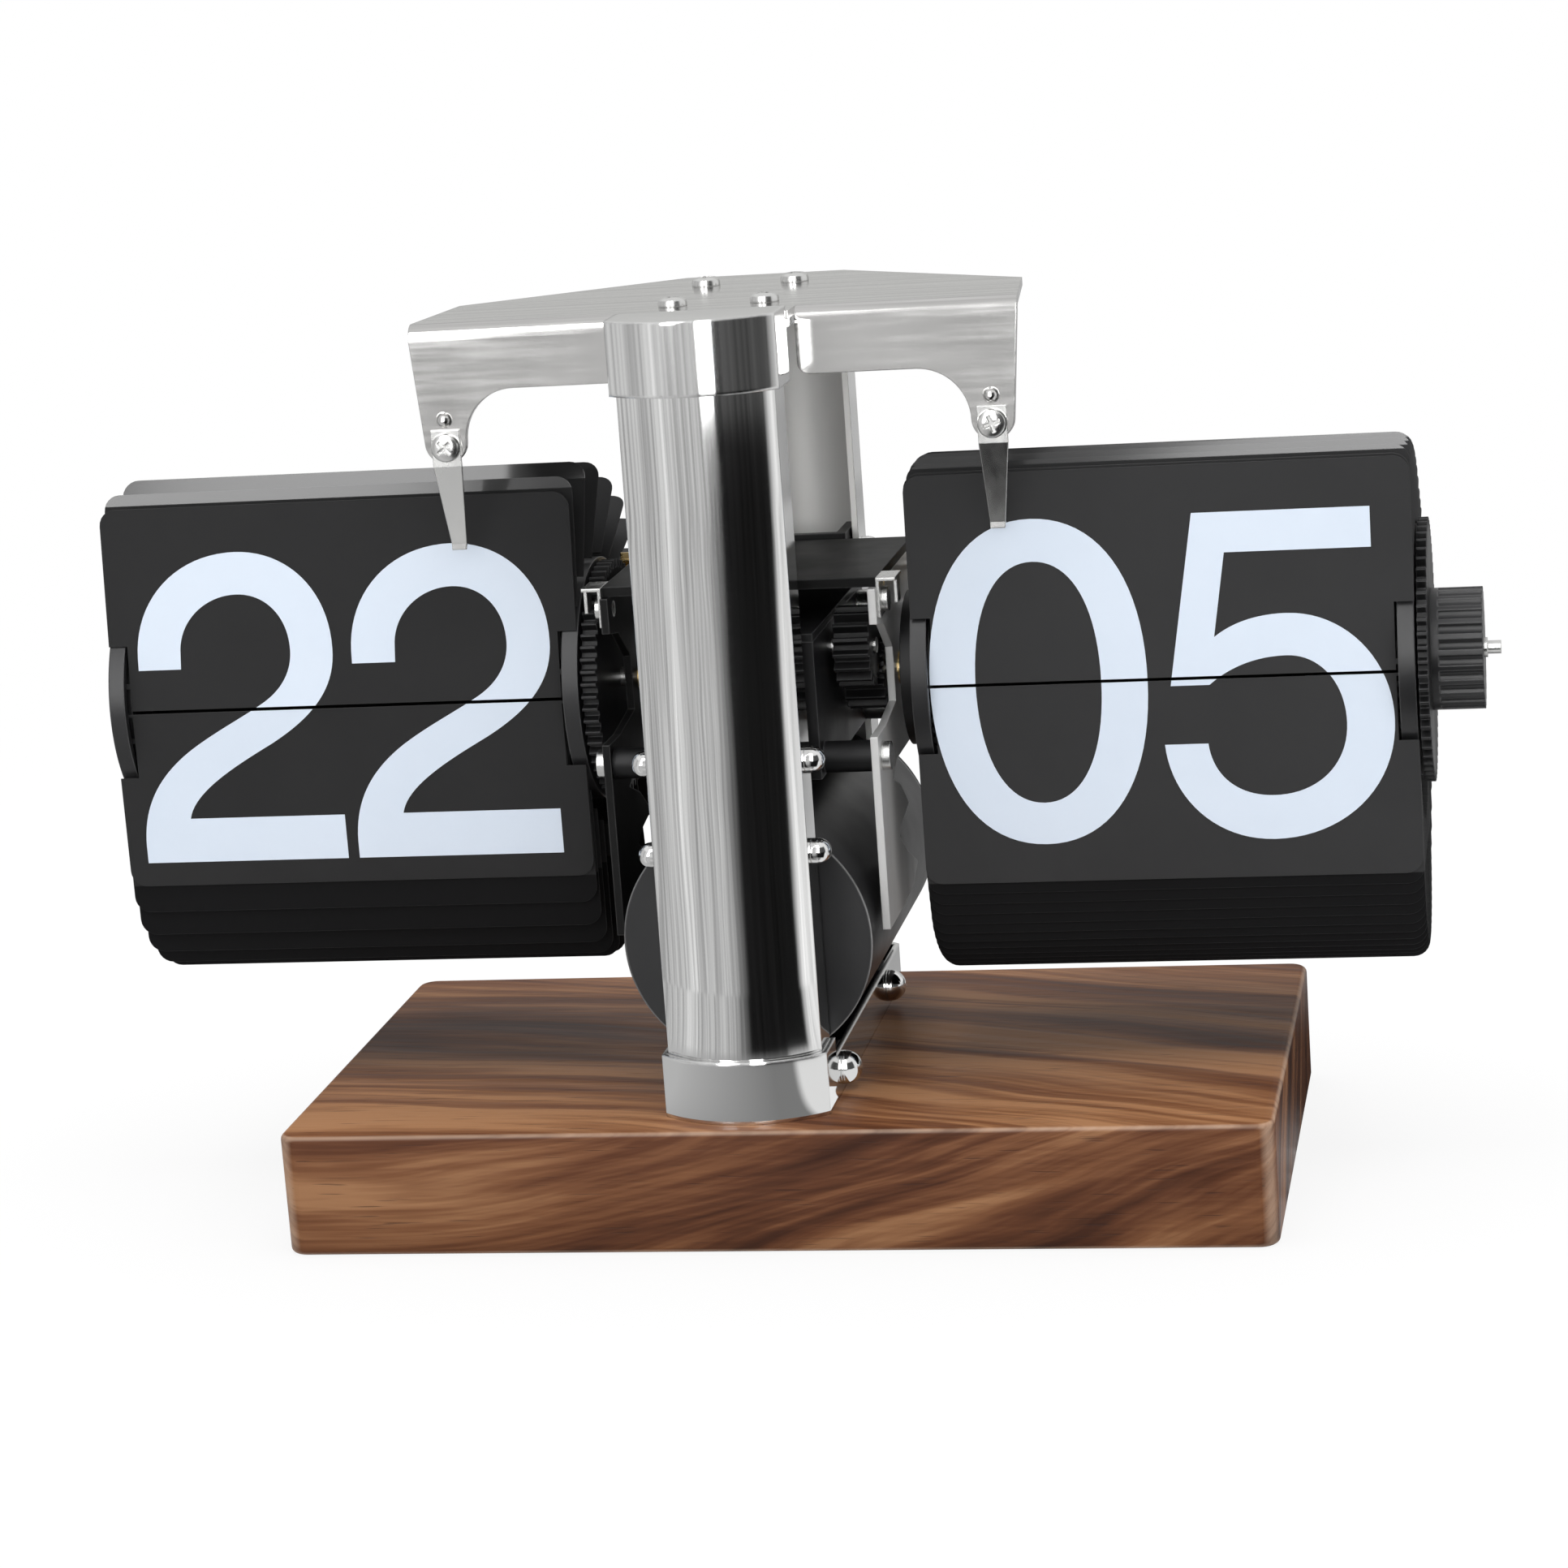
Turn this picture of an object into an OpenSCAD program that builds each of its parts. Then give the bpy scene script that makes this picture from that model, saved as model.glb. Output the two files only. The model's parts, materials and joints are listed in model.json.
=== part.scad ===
// Desk flip clock on a wooden base: two drums of falling leaves on one shaft,
// a chrome frame of two columns, a movement between them and a battery tube below.
// Origin: centre of the underside of the base. X right, Y to the rear, Z up. Millimetres.

/* [Base] */
// Width of the wooden base
base_w = 151; // [130:1:190]
// Depth of the wooden base
base_d = 87; // [84:1:110]
// Thickness of the wooden base
base_t = 19; // [14:0.5:30]
// Corner radius of the base, seen from above
base_r = 3; // [1:0.5:8]
// Place of the tower's centre line, measured from the middle of the base
tower_x = -3.7; // [-12:0.1:12]

/* [Tower] */
// Width of a column
column_w = 23.5; // [21:0.5:26]
// Depth of a column, from its round face to its open edge
column_d = 12; // [11:0.5:15]
// How far the round face of a column bulges
column_bulge = 5; // [3:0.5:6]
// Wall of the columns
column_wall = 1; // [0.8:0.1:1.5]
// Front face of the front column, measured from the middle of the base
tower_half_d = 39.8; // [38:0.2:41]
// Height of the shoe round the foot of the front column
shoe_h = 9.7; // [8:0.1:14]
// Height of the lid's skirt
lid_h = 11; // [8:0.5:14]
// Top of the lid above the table
tower_top = 139.4; // [134:0.2:146]

/* [Arms] */
// Distance between the outer ends of the two arms
arm_span = 91.6; // [84:0.2:100]
// Height of the arm's front flange
arm_flange = 10; // [7:0.5:13]
// Width of an arm's leg
leg_w = 6.4; // [5:0.2:9]
// Lower end of the legs, below the arm's top face
leg_drop = 21; // [18:0.5:23]
// Plane of the arm's front face
arm_y = -22; // [-25:0.5:-20]
// Sheet thickness of the arms
arm_sheet = 1.2; // [1:0.1:1.6]

/* [Drums] */
// Height of the drum axis above the table
axis_z = 79.1; // [78:0.1:82]
// Distance of the drum axis behind the middle of the base
axis_y = 3; // [0:0.5:3.1]
// Inner edge of the leaves, measured from the tower's centre line
leaf_in = 25.9; // [25.9:0.1:30]
// Width of a leaf
leaf_w = 75.1; // [66:0.1:84]
// Thickness of a leaf
leaf_t = 0.25; // [0.2:0.05:0.3]
// Height of an hour leaf
hour_leaf_h = 31.6; // [28:0.1:33]
// Height of a minute leaf
minute_leaf_h = 31.8; // [28:0.1:33]
// Radius of the circle that the leaf pivots lie on
pivot_r = 17; // [16.5:0.1:18]
// Corner radius of the leaves
leaf_r = 2.5; // [1:0.1:4]
// Diameter of the setting knob
knob_dia = 18.5; // [14:0.5:24]
// Length of the setting knob
knob_len = 7.8; // [5:0.2:12]

/* [Battery] */
// Diameter of the battery cell
cell_dia = 33.2; // [32:0.1:33.4]
// Length of the battery cell
cell_len = 61.5; // [58:0.1:61.5]
// Height of the battery axis above the top of the base
tube_up = 24.7; // [24.5:0.1:25.5]

/* [Hidden] */
$fn = 96;
gap = 0.3;
fit = 0.05;
split_up = 0.5;
hour_count = 24;
minute_count = 60;
hour_step = 360 / hour_count;
minute_step = 360 / minute_count;
hour_tail = pivot_r * sin(hour_step) - split_up;
minute_tail = pivot_r * sin(minute_step) - split_up;
front_lean = 92;
hour_lean = 95;
hour_lay = 68;
minute_lay = 80;
hour_squat = 0.75;
minute_squat = 0.6;
lay_loss = 18;
rest_tail = 0.3;
hang = 270;
stack_pitch = 0.45;
first_pitch = 0.75;
notch_w = 3;
notch_h = 10.2;
tab_r = 0.4;
tab_len = 1.1;
disc_r = pivot_r + 2;
disc_t = 2.5;
disc_in = leaf_in - 0.2;
disc_out = leaf_in + leaf_w - 0.1 - disc_t;
groove_d = 1.1;
groove_in = pivot_r - 1.4;
groove_out = pivot_r + 0.8;
core_r = 7;
core_wall = 1.4;
shaft_r = 1.5;
bush_r = 2.6;
tower_hw = column_w / 2;
bulge_r = (tower_hw * tower_hw + column_bulge * column_bulge) / (2 * column_bulge);
sheet = 0.8;
case_sheet = 1.2;
shoe_hw = tower_hw + fit + sheet;
column_foot = base_t + case_sheet;
lid_top_t = 1.4;
column_head = tower_top - lid_top_t;
rear_drop = 2.8;
lid_low = tower_top - lid_h;
bridge_top = tower_top - 0.8;
bridge_low = bridge_top - arm_sheet;
column_back = tower_half_d - column_d;
rail_h = 6.8;
tube_z = base_t + tube_up;
tube_in = cell_dia / 2 + 1.2;
tube_r = tube_in + 1.3;
tube_setback = 13.2;
tube_floor = 1.4;
contact_room = 2.3;
tube_len = tube_floor + contact_room + cell_len;
tube_front = tube_setback - tower_half_d;
tube_rear = tube_front + tube_len;
cap_r = tube_r - 0.5;
cap_front = tube_rear + gap;
cap_t = 2.6;
cell_front = tube_rear - cell_len;
plate_t = 1.2;
plate_in = 20;
plate_out = plate_in + plate_t;
plate_band = -16;
plate_rear = 26;
plate_top = axis_z + 15.9;
case_hw = 12.5;
case_front = -23;
case_rear = 23;
case_low = axis_z - 11.5;
case_top = axis_z + 9.6;
case_wall = 1.6;
bracket_hw = tower_hw - column_wall - gap;
bracket_t = 1.6;
rod_r = 1.5;
rod_y = tower_half_d - 8.6;
front_rods = [axis_z - 20.5, axis_z - 6.5];
rear_rods = [axis_z - 4, axis_z + 14];
nut_r = 2;
nut_h = 0.8;
nut_rim = 1;
post_r = 2.4;
post_spots = [[18.8, -9], [18.8, 7.2]];
boss_spots = [[-18.8, -9]];
plate_spots = concat(post_spots, boss_spots);
screw_r = 1.2;
screw_head_r = 2.2;
screw_head_h = 1.4;
hour_teeth = 60;
transfer_teeth = 10;
hour_module = 0.6;
transfer_dist = hour_module * (hour_teeth + transfer_teeth) / 2;
transfer_turn = 40;
transfer_y = axis_y + transfer_dist * cos(transfer_turn);
transfer_z = axis_z + transfer_dist * sin(transfer_turn);
arbor_r = 1.2;
pinion_teeth = 16;
drive_teeth = 16;
drive_module = 0.7;
drive_dist = drive_module * (pinion_teeth + drive_teeth) / 2;
drive_turn = 150;
drive_y = axis_y + drive_dist * cos(drive_turn);
drive_z = axis_z + drive_dist * sin(drive_turn);
wheel_in = plate_out + screw_head_h + 0.4;
wheel_out = disc_in - gap;
wheel_rim = 60;
wheel_module = 0.65;
wheel_start = leaf_in + leaf_w + gap;
rim_t = 1.5;
rim_hub_r = 8;
knob_in = wheel_start + rim_t;
knob_tip = 2.5;
finger_x = 41.3;
finger_len = 16.6;
finger_gap = 3;
finger_skew = 0.9;
finger_tip_h = 1;
finger_sheet = 0.4;
finger_w = 4.4;
finger_tip_w = 2.2;
leg_low = bridge_top - leg_drop;
finger_screw_up = 2.6;
finger_screw_z = leg_low + finger_screw_up;
finger_tip_z = finger_screw_z - finger_len;
arm_hw = arm_span / 2;
arm_depth = 24;
arm_mid_rear = 27;
leg_in = arm_hw - 1.2 - leg_w;
fillet_r = bridge_top - arm_flange - leg_low - leg_w / 2;
chrome = [0.82, 0.82, 0.83];
black = [0.09, 0.09, 0.1];
steel = [0.7, 0.7, 0.7];
brass = [0.75, 0.6, 0.3];
leaf_black = [0.16, 0.16, 0.16];
walnut = [0.38, 0.22, 0.14];

// Bars along the three directions
module x_bar(x0, x1, y, z, r) {
    translate([x0, y, z]) rotate([0, 90, 0]) cylinder(h = x1 - x0, r = r);
}
module y_bar(x, y0, y1, z, r) {
    translate([x, y0, z]) rotate([-90, 0, 0]) cylinder(h = y1 - y0, r = r);
}
module block(x0, x1, y0, y1, z0, z1) {
    translate([x0, y0, z0]) cube([x1 - x0, y1 - y0, z1 - z0]);
}
// A domed head standing on z = 0: a rim of the given height and a round top
module dome(r, rim) {
    rotate_extrude() intersection() {
        union() {
            translate([0, rim]) circle(r = r * 0.98, $fn = 64);
            square([r, rim]);
        }
        square([r, rim + r]);
    }
}
module on_tower() {
    translate([tower_x, 0, 0]) children();
}
module at_axis() {
    translate([0, axis_y, axis_z]) children();
}

// Plan of a column: straight sides and a round face, the face towards -Y
module column_plan(half_w, face, back) {
    radius = (half_w * half_w + column_bulge * column_bulge) / (2 * column_bulge);
    intersection() {
        union() {
            translate([0, face + radius]) circle(r = radius, $fn = 160);
            translate([-half_w, face + column_bulge]) square([2 * half_w, tower_half_d]);
        }
        translate([-half_w, face]) square([2 * half_w, back - face]);
    }
}
module tower_plan(half_w, grow) {
    column_plan(half_w, -tower_half_d - grow, 1);
    mirror([0, 1]) column_plan(half_w, -tower_half_d - grow, 1);
}

// Straight-sided gear around the X axis
module gear(teeth, size, x0, x1, bore, turn = 0) {
    pitch_r = teeth * size / 2;
    step = 360 / teeth;
    tip = pitch_r + 0.85 * size;
    root = pitch_r - 1.15 * size;
    outline = [for (i = [0:teeth - 1], c = [[-0.31, root], [-0.1, tip], [0.1, tip], [0.31, root]])
        let (a = turn + (i + c[0]) * step) [c[1] * cos(a), c[1] * sin(a)]];
    translate([x0, 0, 0]) rotate([90, 0, 90]) linear_extrude(x1 - x0) difference() {
        polygon(outline);
        circle(r = bore);
    }
}

// A leaf: v runs from the pivot to the free edge, the tail lies behind the pivot
leaf_arc = 6;
function corner(x, y, r, from) = [for (i = [0:leaf_arc]) let (a = from + 90 * i / leaf_arc)
    [x + r * cos(a), y + r * sin(a)]];
module leaf_plan(free, tail, step_v, tabs) {
    half = leaf_w / 2;
    neck = half - notch_w;
    reach = neck + tab_len;
    tab_low = -min(tab_r, tail);
    polygon(concat(
        tail > 0 ? [[-neck, -tail], [neck, -tail]] : [],
        tabs ? [[neck, tab_low], [reach, tab_low], [reach, tab_r], [neck, tab_r]] : [],
        [[neck, step_v], [half, step_v]],
        corner(half - leaf_r, free - leaf_r, leaf_r, 0),
        corner(leaf_r - half, free - leaf_r, leaf_r, 90),
        [[-half, step_v], [-neck, step_v]],
        tabs ? [[-neck, tab_r], [-reach, tab_r], [-reach, tab_low], [-neck, tab_low]] : []));
}
module lay_leaf(side, y, z, dir, free, tail, step_v, tabs = true) {
    translate([side * (leaf_in + leaf_w / 2), axis_y + y, axis_z + z]) rotate([180 - dir, 0, 0])
        translate([0, 0, -leaf_t / 2]) linear_extrude(leaf_t) leaf_plan(free, tail, step_v, tabs);
}
// How far along a leaf its full width may start, to pass the rim of the discs
function rim_v(y, z, dir) = let (along = z * sin(dir) - y * cos(dir), clear = disc_r + gap + leaf_t)
    sqrt(along * along - y * y - z * z + clear * clear) - along;
// Leaves lie back more and more over the drum, and less than a full turn's share past its top
lay_from = 80;
lay_over = 50;
function leaf_dir(turn, lean, lay) =
    min(hang, max(lean, turn + lay - lay_loss * max(0, min(1, (turn - lay_from) / lay_over))));
function upper_z(turn, i, squat) = pivot_r * sin(turn) * (i > 1 && turn < 180 ? squat : 1);
function upper_y(turn, step, i) = max(-pivot_r * cos(turn), -pivot_r * cos(step) + stack_pitch * (i - 1));
function lower_y(turn, i) = max(-pivot_r * cos(turn), -pivot_r + first_pitch + stack_pitch * (i - 1));

// The standing leaves fan back over the drum, the fallen ones hang below it. Behind the first
// one the standing leaves sink between the discs, so they have no tabs and only a short tail.
module leaf_stack(side, count, step, height, tail, lean, lay, squat) {
    hung = floor(90 / step);
    for (i = [1:hung])
        lay_leaf(side, lower_y(-i * step, i), pivot_r * sin(-i * step), hang, height - tail, tail,
            notch_h - tail);
    for (i = [1:count - 1 - hung])
        let (turn = i * step, y = upper_y(turn, step, i), z = upper_z(turn, i, squat),
            dir = leaf_dir(turn, lean, lay))
        lay_leaf(side, y, z, dir, height - tail, i == 1 ? tail : rest_tail,
            i == 1 ? notch_h - tail : max(notch_h - tail, rim_v(y, z, dir)), i == 1);
}
// The leaf that fell last, hinged at its top edge, with its face on the hinge line
module front_leaf(side, height, tail) {
    lay_leaf(side, -pivot_r + leaf_t / 2, 0, hang, height - tail, 0, notch_h);
}

module end_disc(x0, groove_x, hole) {
    at_axis() difference() {
        x_bar(x0, x0 + disc_t, 0, 0, disc_r);
        x_bar(x0 - 1, x0 + disc_t + 1, 0, 0, hole);
        difference() {
            x_bar(groove_x, groove_x + groove_d, 0, 0, groove_out);
            x_bar(groove_x - 1, groove_x + groove_d + 1, 0, 0, groove_in);
        }
    }
}
module drum_core(x0, x1, bore) {
    at_axis() difference() {
        x_bar(x0, x1, 0, 0, core_r);
        x_bar(x0 - 1, x1 + 1, 0, 0, bore);
        difference() {
            x_bar(x0 + 4, x1 - 4, 0, 0, core_r - core_wall);
            x_bar(x0, x1, 0, 0, bore + core_wall);
        }
    }
}

// Base
module base_plan() {
    x = base_w / 2 - base_r;
    y = base_d / 2 - base_r;
    square([base_w - 2 * base_r, base_d], center = true);
    square([base_w, base_d - 2 * base_r], center = true);
    for (i = [-1, 1], j = [-1, 1]) translate([i * x, j * y]) circle(r = base_r, $fn = 48);
}
base_screw_y = 13;
base_bore_r = 4.5;
base_bore_d = 4;
base_shank_r = 2;
module wood_base() {
    color(walnut) difference() {
        linear_extrude(base_t) base_plan();
        for (s = [-1, 1]) translate([tower_x, s * base_screw_y, 0]) {
            translate([0, 0, -1]) cylinder(h = base_bore_d + 1, r = base_bore_r);
            cylinder(h = base_t + 1, r = base_shank_r + gap);
        }
    }
}
module base_screws() {
    color(steel) on_tower() for (s = [-1, 1]) translate([0, s * base_screw_y, 0]) {
        translate([0, 0, base_bore_d - 2.4]) cylinder(h = 2.4, r = base_bore_r - 0.8);
        translate([0, 0, base_bore_d - 1])
            cylinder(h = base_t + case_sheet + 4.2 - base_bore_d, r = base_shank_r);
    }
}
module tray_nuts() {
    color(steel) on_tower() for (s = [-1, 1]) translate([0, s * base_screw_y, column_foot]) difference() {
        cylinder(h = 2.6, r = 3.9, $fn = 6);
        translate([0, 0, -1]) cylinder(h = 5, r = base_shank_r + fit);
    }
}

// Frame
module bottom_tray() {
    color(chrome) on_tower() difference() {
        translate([0, 0, base_t]) linear_extrude(shoe_h) tower_plan(shoe_hw, fit + sheet);
        translate([0, 0, column_foot]) linear_extrude(shoe_h) tower_plan(shoe_hw - sheet, fit);
        block(-shoe_hw - 1, shoe_hw + 1, -column_back, tower_half_d + 5, base_t + rail_h,
            base_t + shoe_h + 1);
        y_bar(0, tube_front - 1, tower_half_d + 5, tube_z, tube_r + gap);
        for (s = [-1, 1]) translate([0, s * base_screw_y, base_t - 1])
            cylinder(h = 4, r = base_shank_r + gap);
        for (i = [-1, 1]) x_bar(-shoe_hw - 1, shoe_hw + 1, i * side_screw_y, side_screw_z, screw_r + fit);
    }
}
module column_shell(foot, head) {
    translate([0, 0, foot]) linear_extrude(head - foot) difference() {
        column_plan(tower_hw, -tower_half_d, -column_back);
        column_plan(tower_hw - column_wall, -tower_half_d + column_wall, 0);
    }
}
module front_column() {
    color(chrome) on_tower() difference() {
        column_shell(column_foot, column_head);
        for (z = front_rods) x_bar(-tower_hw - 1, tower_hw + 1, -rod_y, z, rod_r + fit);
    }
}
saddle_h = sqrt(tube_r * tube_r - tower_hw * tower_hw);
module rear_column() {
    color(chrome) on_tower() difference() {
        mirror([0, 1, 0]) column_shell(tube_z, column_head - rear_drop);
        y_bar(0, 0, tower_half_d + 5, tube_z, tube_r + fit);
        block(-tower_hw - 1, tower_hw + 1, 0, tower_half_d + 1, tube_z - 1, tube_z + saddle_h);
        for (z = rear_rods) x_bar(-tower_hw - 1, tower_hw + 1, rod_y, z, rod_r + fit);
    }
}
lid_neck = column_back - 1;
bridge_screw_x = 7;
bridge_screw_y = 13;
module lid_end(top) {
    difference() {
        translate([0, 0, lid_low]) linear_extrude(top - lid_low)
            column_plan(shoe_hw, -tower_half_d - fit - sheet, -lid_neck);
        translate([0, 0, lid_low - 1]) linear_extrude(top - lid_top_t - lid_low + 1)
            column_plan(shoe_hw - sheet, -tower_half_d - fit, 0);
    }
}
module top_lid() {
    color(chrome) on_tower() {
        lid_end(tower_top);
        mirror([0, 1, 0]) lid_end(tower_top - rear_drop);
    }
    color(chrome) on_tower() difference() {
        translate([0, 0, bridge_low - lid_top_t]) linear_extrude(lid_top_t) intersection() {
            tower_plan(shoe_hw, fit + sheet);
            square([2 * shoe_hw, 2 * lid_neck + 2], center = true);
        }
        for (i = [-1, 1], j = [-1, 1]) translate([i * bridge_screw_x, j * bridge_screw_y, bridge_low - 5])
            cylinder(h = 9, r = screw_r + fit);
    }
}

// Arms: one bent sheet, a top plate with a front flange and two legs
bend_r = 2.4;
corner_r = 1.8;
nub_r = 1.15;
nub_up = 1.45;
module arm_face() {
    low = bridge_top - arm_flange;
    for (s = [-1, 1]) scale([s, 1]) difference() {
        polygon([[shoe_hw + gap, bridge_top - bend_r], [arm_hw, bridge_top - bend_r],
            [arm_hw - 1.2, leg_low + leg_w / 2], [leg_in, leg_low + leg_w / 2],
            [leg_in - fillet_r, low], [shoe_hw + gap + corner_r, low],
            [shoe_hw + gap, low + corner_r]]);
        translate([leg_in - fillet_r, low - fillet_r]) circle(r = fillet_r, $fn = 64);
    }
    for (s = [-1, 1]) translate([s * (leg_in + leg_w / 2), leg_low + leg_w / 2])
        circle(r = leg_w / 2, $fn = 48);
    for (s = [-1, 1]) translate([s * (shoe_hw + gap + corner_r), low + corner_r])
        circle(r = corner_r, $fn = 48);
}
module arm_top() {
    y0 = arm_y + bend_r;
    polygon([[-arm_hw, y0], [-shoe_hw - gap, y0], [-shoe_hw - gap, -lid_neck + gap],
        [shoe_hw + gap, -lid_neck + gap], [shoe_hw + gap, y0], [arm_hw, y0],
        [arm_hw - 2, arm_y + arm_depth], [shoe_hw, arm_mid_rear - gap - 1],
        [-shoe_hw, arm_mid_rear - gap - 1],
        [-arm_hw + 2, arm_y + arm_depth]]);
}
module arm_bend() {
    for (s = [0, 1]) mirror([s, 0, 0]) translate([shoe_hw + gap, arm_y + bend_r, bridge_top - bend_r])
        intersection() {
            difference() {
                x_bar(0, arm_hw - shoe_hw - gap, 0, 0, bend_r);
                x_bar(-1, arm_hw, 0, 0, bend_r - arm_sheet);
            }
            block(-1, arm_hw, -bend_r - 1, 0, 0, bend_r + 1);
        }
}
module arm_bridge() {
    color(chrome) on_tower() difference() {
        union() {
            translate([0, arm_y + arm_sheet, 0]) rotate([90, 0, 0]) linear_extrude(arm_sheet) arm_face();
            translate([0, 0, bridge_low]) linear_extrude(arm_sheet) arm_top();
            arm_bend();
            for (s = [-1, 1])
                translate([s * finger_x, arm_y + 0.1, finger_screw_z + finger_screw_up + nub_up])
                    rotate([90, 0, 0]) dome(nub_r, 0.1);
        }
        for (i = [-1, 1], j = [-1, 1]) translate([i * bridge_screw_x, j * bridge_screw_y, bridge_low - 2])
            cylinder(h = 6, r = screw_r + fit);
        for (s = [-1, 1]) y_bar(s * finger_x, arm_y - 1, arm_y + 3, finger_screw_z, screw_r + fit);
    }
}
screw_end = 2;
module bridge_screws() {
    color(steel) on_tower() for (i = [-1, 1], j = [-1, 1])
        translate([i * bridge_screw_x, j * bridge_screw_y, bridge_top]) {
            cylinder(h = screw_head_h, r = screw_head_r);
            translate([0, 0, -arm_sheet - lid_top_t - screw_end])
                cylinder(h = arm_sheet + lid_top_t + screw_end + 0.5, r = screw_r);
        }
}

// A spring finger: a pad on the leg's face, then a strip leaning in to the leaf
finger_tip_y = axis_y - pivot_r + (finger_tip_z - axis_z) * tan(front_lean - 90) - finger_gap;
module finger(s) {
    pad_top = finger_screw_z + finger_screw_up;
    pad_low = leg_low - finger_sheet;
    front = arm_y - finger_sheet;
    tip_front = finger_tip_y - finger_sheet;
    bend_z = finger_tip_z + finger_tip_h;
    wide = finger_w / 2;
    narrow = finger_tip_w / 2;
    difference() {
        intersection() {
            translate([s * finger_x - finger_w, 0, 0]) rotate([90, 0, 90]) linear_extrude(2 * finger_w)
                polygon([[arm_y, pad_top], [front, pad_top], [front, pad_low], [tip_front, bend_z],
                    [tip_front, finger_tip_z], [finger_tip_y, finger_tip_z], [finger_tip_y, bend_z],
                    [arm_y, pad_low]]);
            translate([s * finger_x, base_d / 2, 0]) rotate([90, 0, 0]) linear_extrude(base_d)
                polygon([[-wide, pad_top], [-wide, pad_low], [-narrow - finger_skew, finger_tip_z],
                    [narrow - finger_skew, finger_tip_z], [wide, pad_low], [wide, pad_top]]);
        }
        y_bar(s * finger_x, arm_y - 3, arm_y + 3, finger_screw_z, screw_r + fit);
    }
}
module left_finger() {
    color(steel) on_tower() finger(-1);
}
module right_finger() {
    color(steel) on_tower() finger(1);
}
module finger_screws() {
    color(steel) on_tower() for (s = [-1, 1]) {
        y_bar(s * finger_x, arm_y - finger_sheet - screw_head_h, arm_y - finger_sheet, finger_screw_z,
            screw_head_r);
        y_bar(s * finger_x, arm_y - 1, arm_y + 2.4, finger_screw_z, screw_r);
    }
}

// Battery
cradle_back = 5.3;
cradle_hd = 3;
side_screw_y = column_back - cradle_back;
side_screw_z = base_t + 3.4;
cradle_hw = shoe_hw - sheet - fit;
module cradle(y) {
    color(black) on_tower() difference() {
        block(-cradle_hw, cradle_hw, y - cradle_hd, y + cradle_hd, column_foot, base_t + rail_h);
        y_bar(0, y - cradle_hd - 1, y + cradle_hd + 1, tube_z, tube_r);
        x_bar(-cradle_hw - 1, cradle_hw + 1, y, side_screw_z, screw_r + fit);
    }
}
module front_cradle() {
    cradle(-side_screw_y);
}
module rear_cradle() {
    cradle(side_screw_y);
}
module side_screws() {
    color(chrome) on_tower() for (s = [-1, 1], y = [-side_screw_y, side_screw_y])
        translate([s * shoe_hw, y, side_screw_z]) rotate([0, s * 90, 0]) {
            dome(2.6, 0.4);
            translate([0, 0, -5]) cylinder(h = 5.5, r = screw_r);
        }
}
module battery_tube() {
    color(black) on_tower() difference() {
        y_bar(0, tube_front, tube_rear, tube_z, tube_r);
        y_bar(0, tube_front + tube_floor, tube_rear + 1, tube_z, tube_in);
    }
}
module battery_cell() {
    color([0.3, 0.3, 0.32]) on_tower() {
        y_bar(0, cell_front, tube_rear - 2, tube_z, cell_dia / 2);
        y_bar(0, tube_rear - 2.5, tube_rear, tube_z, 4.8);
    }
}
// A dished spring washer, its rim on the tube's floor and its crown against the cell
dish_r = 9;
dish_hole = 3;
dish_t = 0.4;
module front_contact() {
    floor_y = tube_front + tube_floor;
    rise = cell_front - floor_y - dish_t;
    color(steel) on_tower() translate([0, floor_y, tube_z]) rotate([-90, 0, 0]) rotate_extrude()
        polygon([[dish_r, 0], [dish_r, dish_t], [dish_hole, rise + dish_t], [dish_hole, rise]]);
}
module battery_cap() {
    color(black) on_tower() difference() {
        union() {
            y_bar(0, cap_front, cap_front + cap_t, tube_z, cap_r);
            difference() {
                y_bar(0, cap_front - 3, cap_front + 1, tube_z, tube_in - gap);
                y_bar(0, cap_front - 4, cap_front, tube_z, tube_in - gap - 0.6);
            }
        }
        block(-11, 11, cap_front + cap_t - 1.2, cap_front + cap_t + 1, tube_z - 1, tube_z + 1);
    }
}
module cap_contact() {
    color(brass) on_tower() y_bar(0, tube_rear + 0.02, cap_front, tube_z, 6);
}

// Movement
module movement_case() {
    color(black) on_tower() difference() {
        union() {
            block(-case_hw, case_hw, case_front, case_rear, case_low, case_top);
            for (p = boss_spots) x_bar(-plate_in, plate_in, p[0], axis_z + p[1], post_r);
        }
        for (s = [0, 1], p = boss_spots) mirror([s, 0, 0])
            x_bar(plate_in - screw_bite - gap, plate_in + 1, p[0], axis_z + p[1], screw_r + fit);
        block(-case_hw + case_wall, case_hw - case_wall, case_front + case_wall, case_rear - case_wall,
            case_low + case_wall, case_top + 1);
        x_bar(-case_hw - 1, case_hw + 1, axis_y, axis_z, bush_r + fit);
        x_bar(0, case_hw + 1, drive_y, drive_z, arbor_r + fit);
    }
}
module case_cover() {
    color(black) on_tower() block(-case_hw, case_hw, case_front, case_rear, case_top, case_top + 1.2);
}
module motor() {
    color(steel) on_tower() difference() {
        x_bar(-case_hw + case_wall + 1, case_hw - case_wall, drive_y - 2, drive_z - 0.6, 4);
        x_bar(0, case_hw + 1, drive_y, drive_z, arbor_r + fit);
    }
}
module circuit_board() {
    color([0.1, 0.35, 0.2]) on_tower()
        block(-case_hw + case_wall, case_hw - case_wall, case_front + case_wall, axis_y - 4,
            case_low + case_wall, case_low + case_wall + 1.6);
}
bracket_over = 4;
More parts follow.
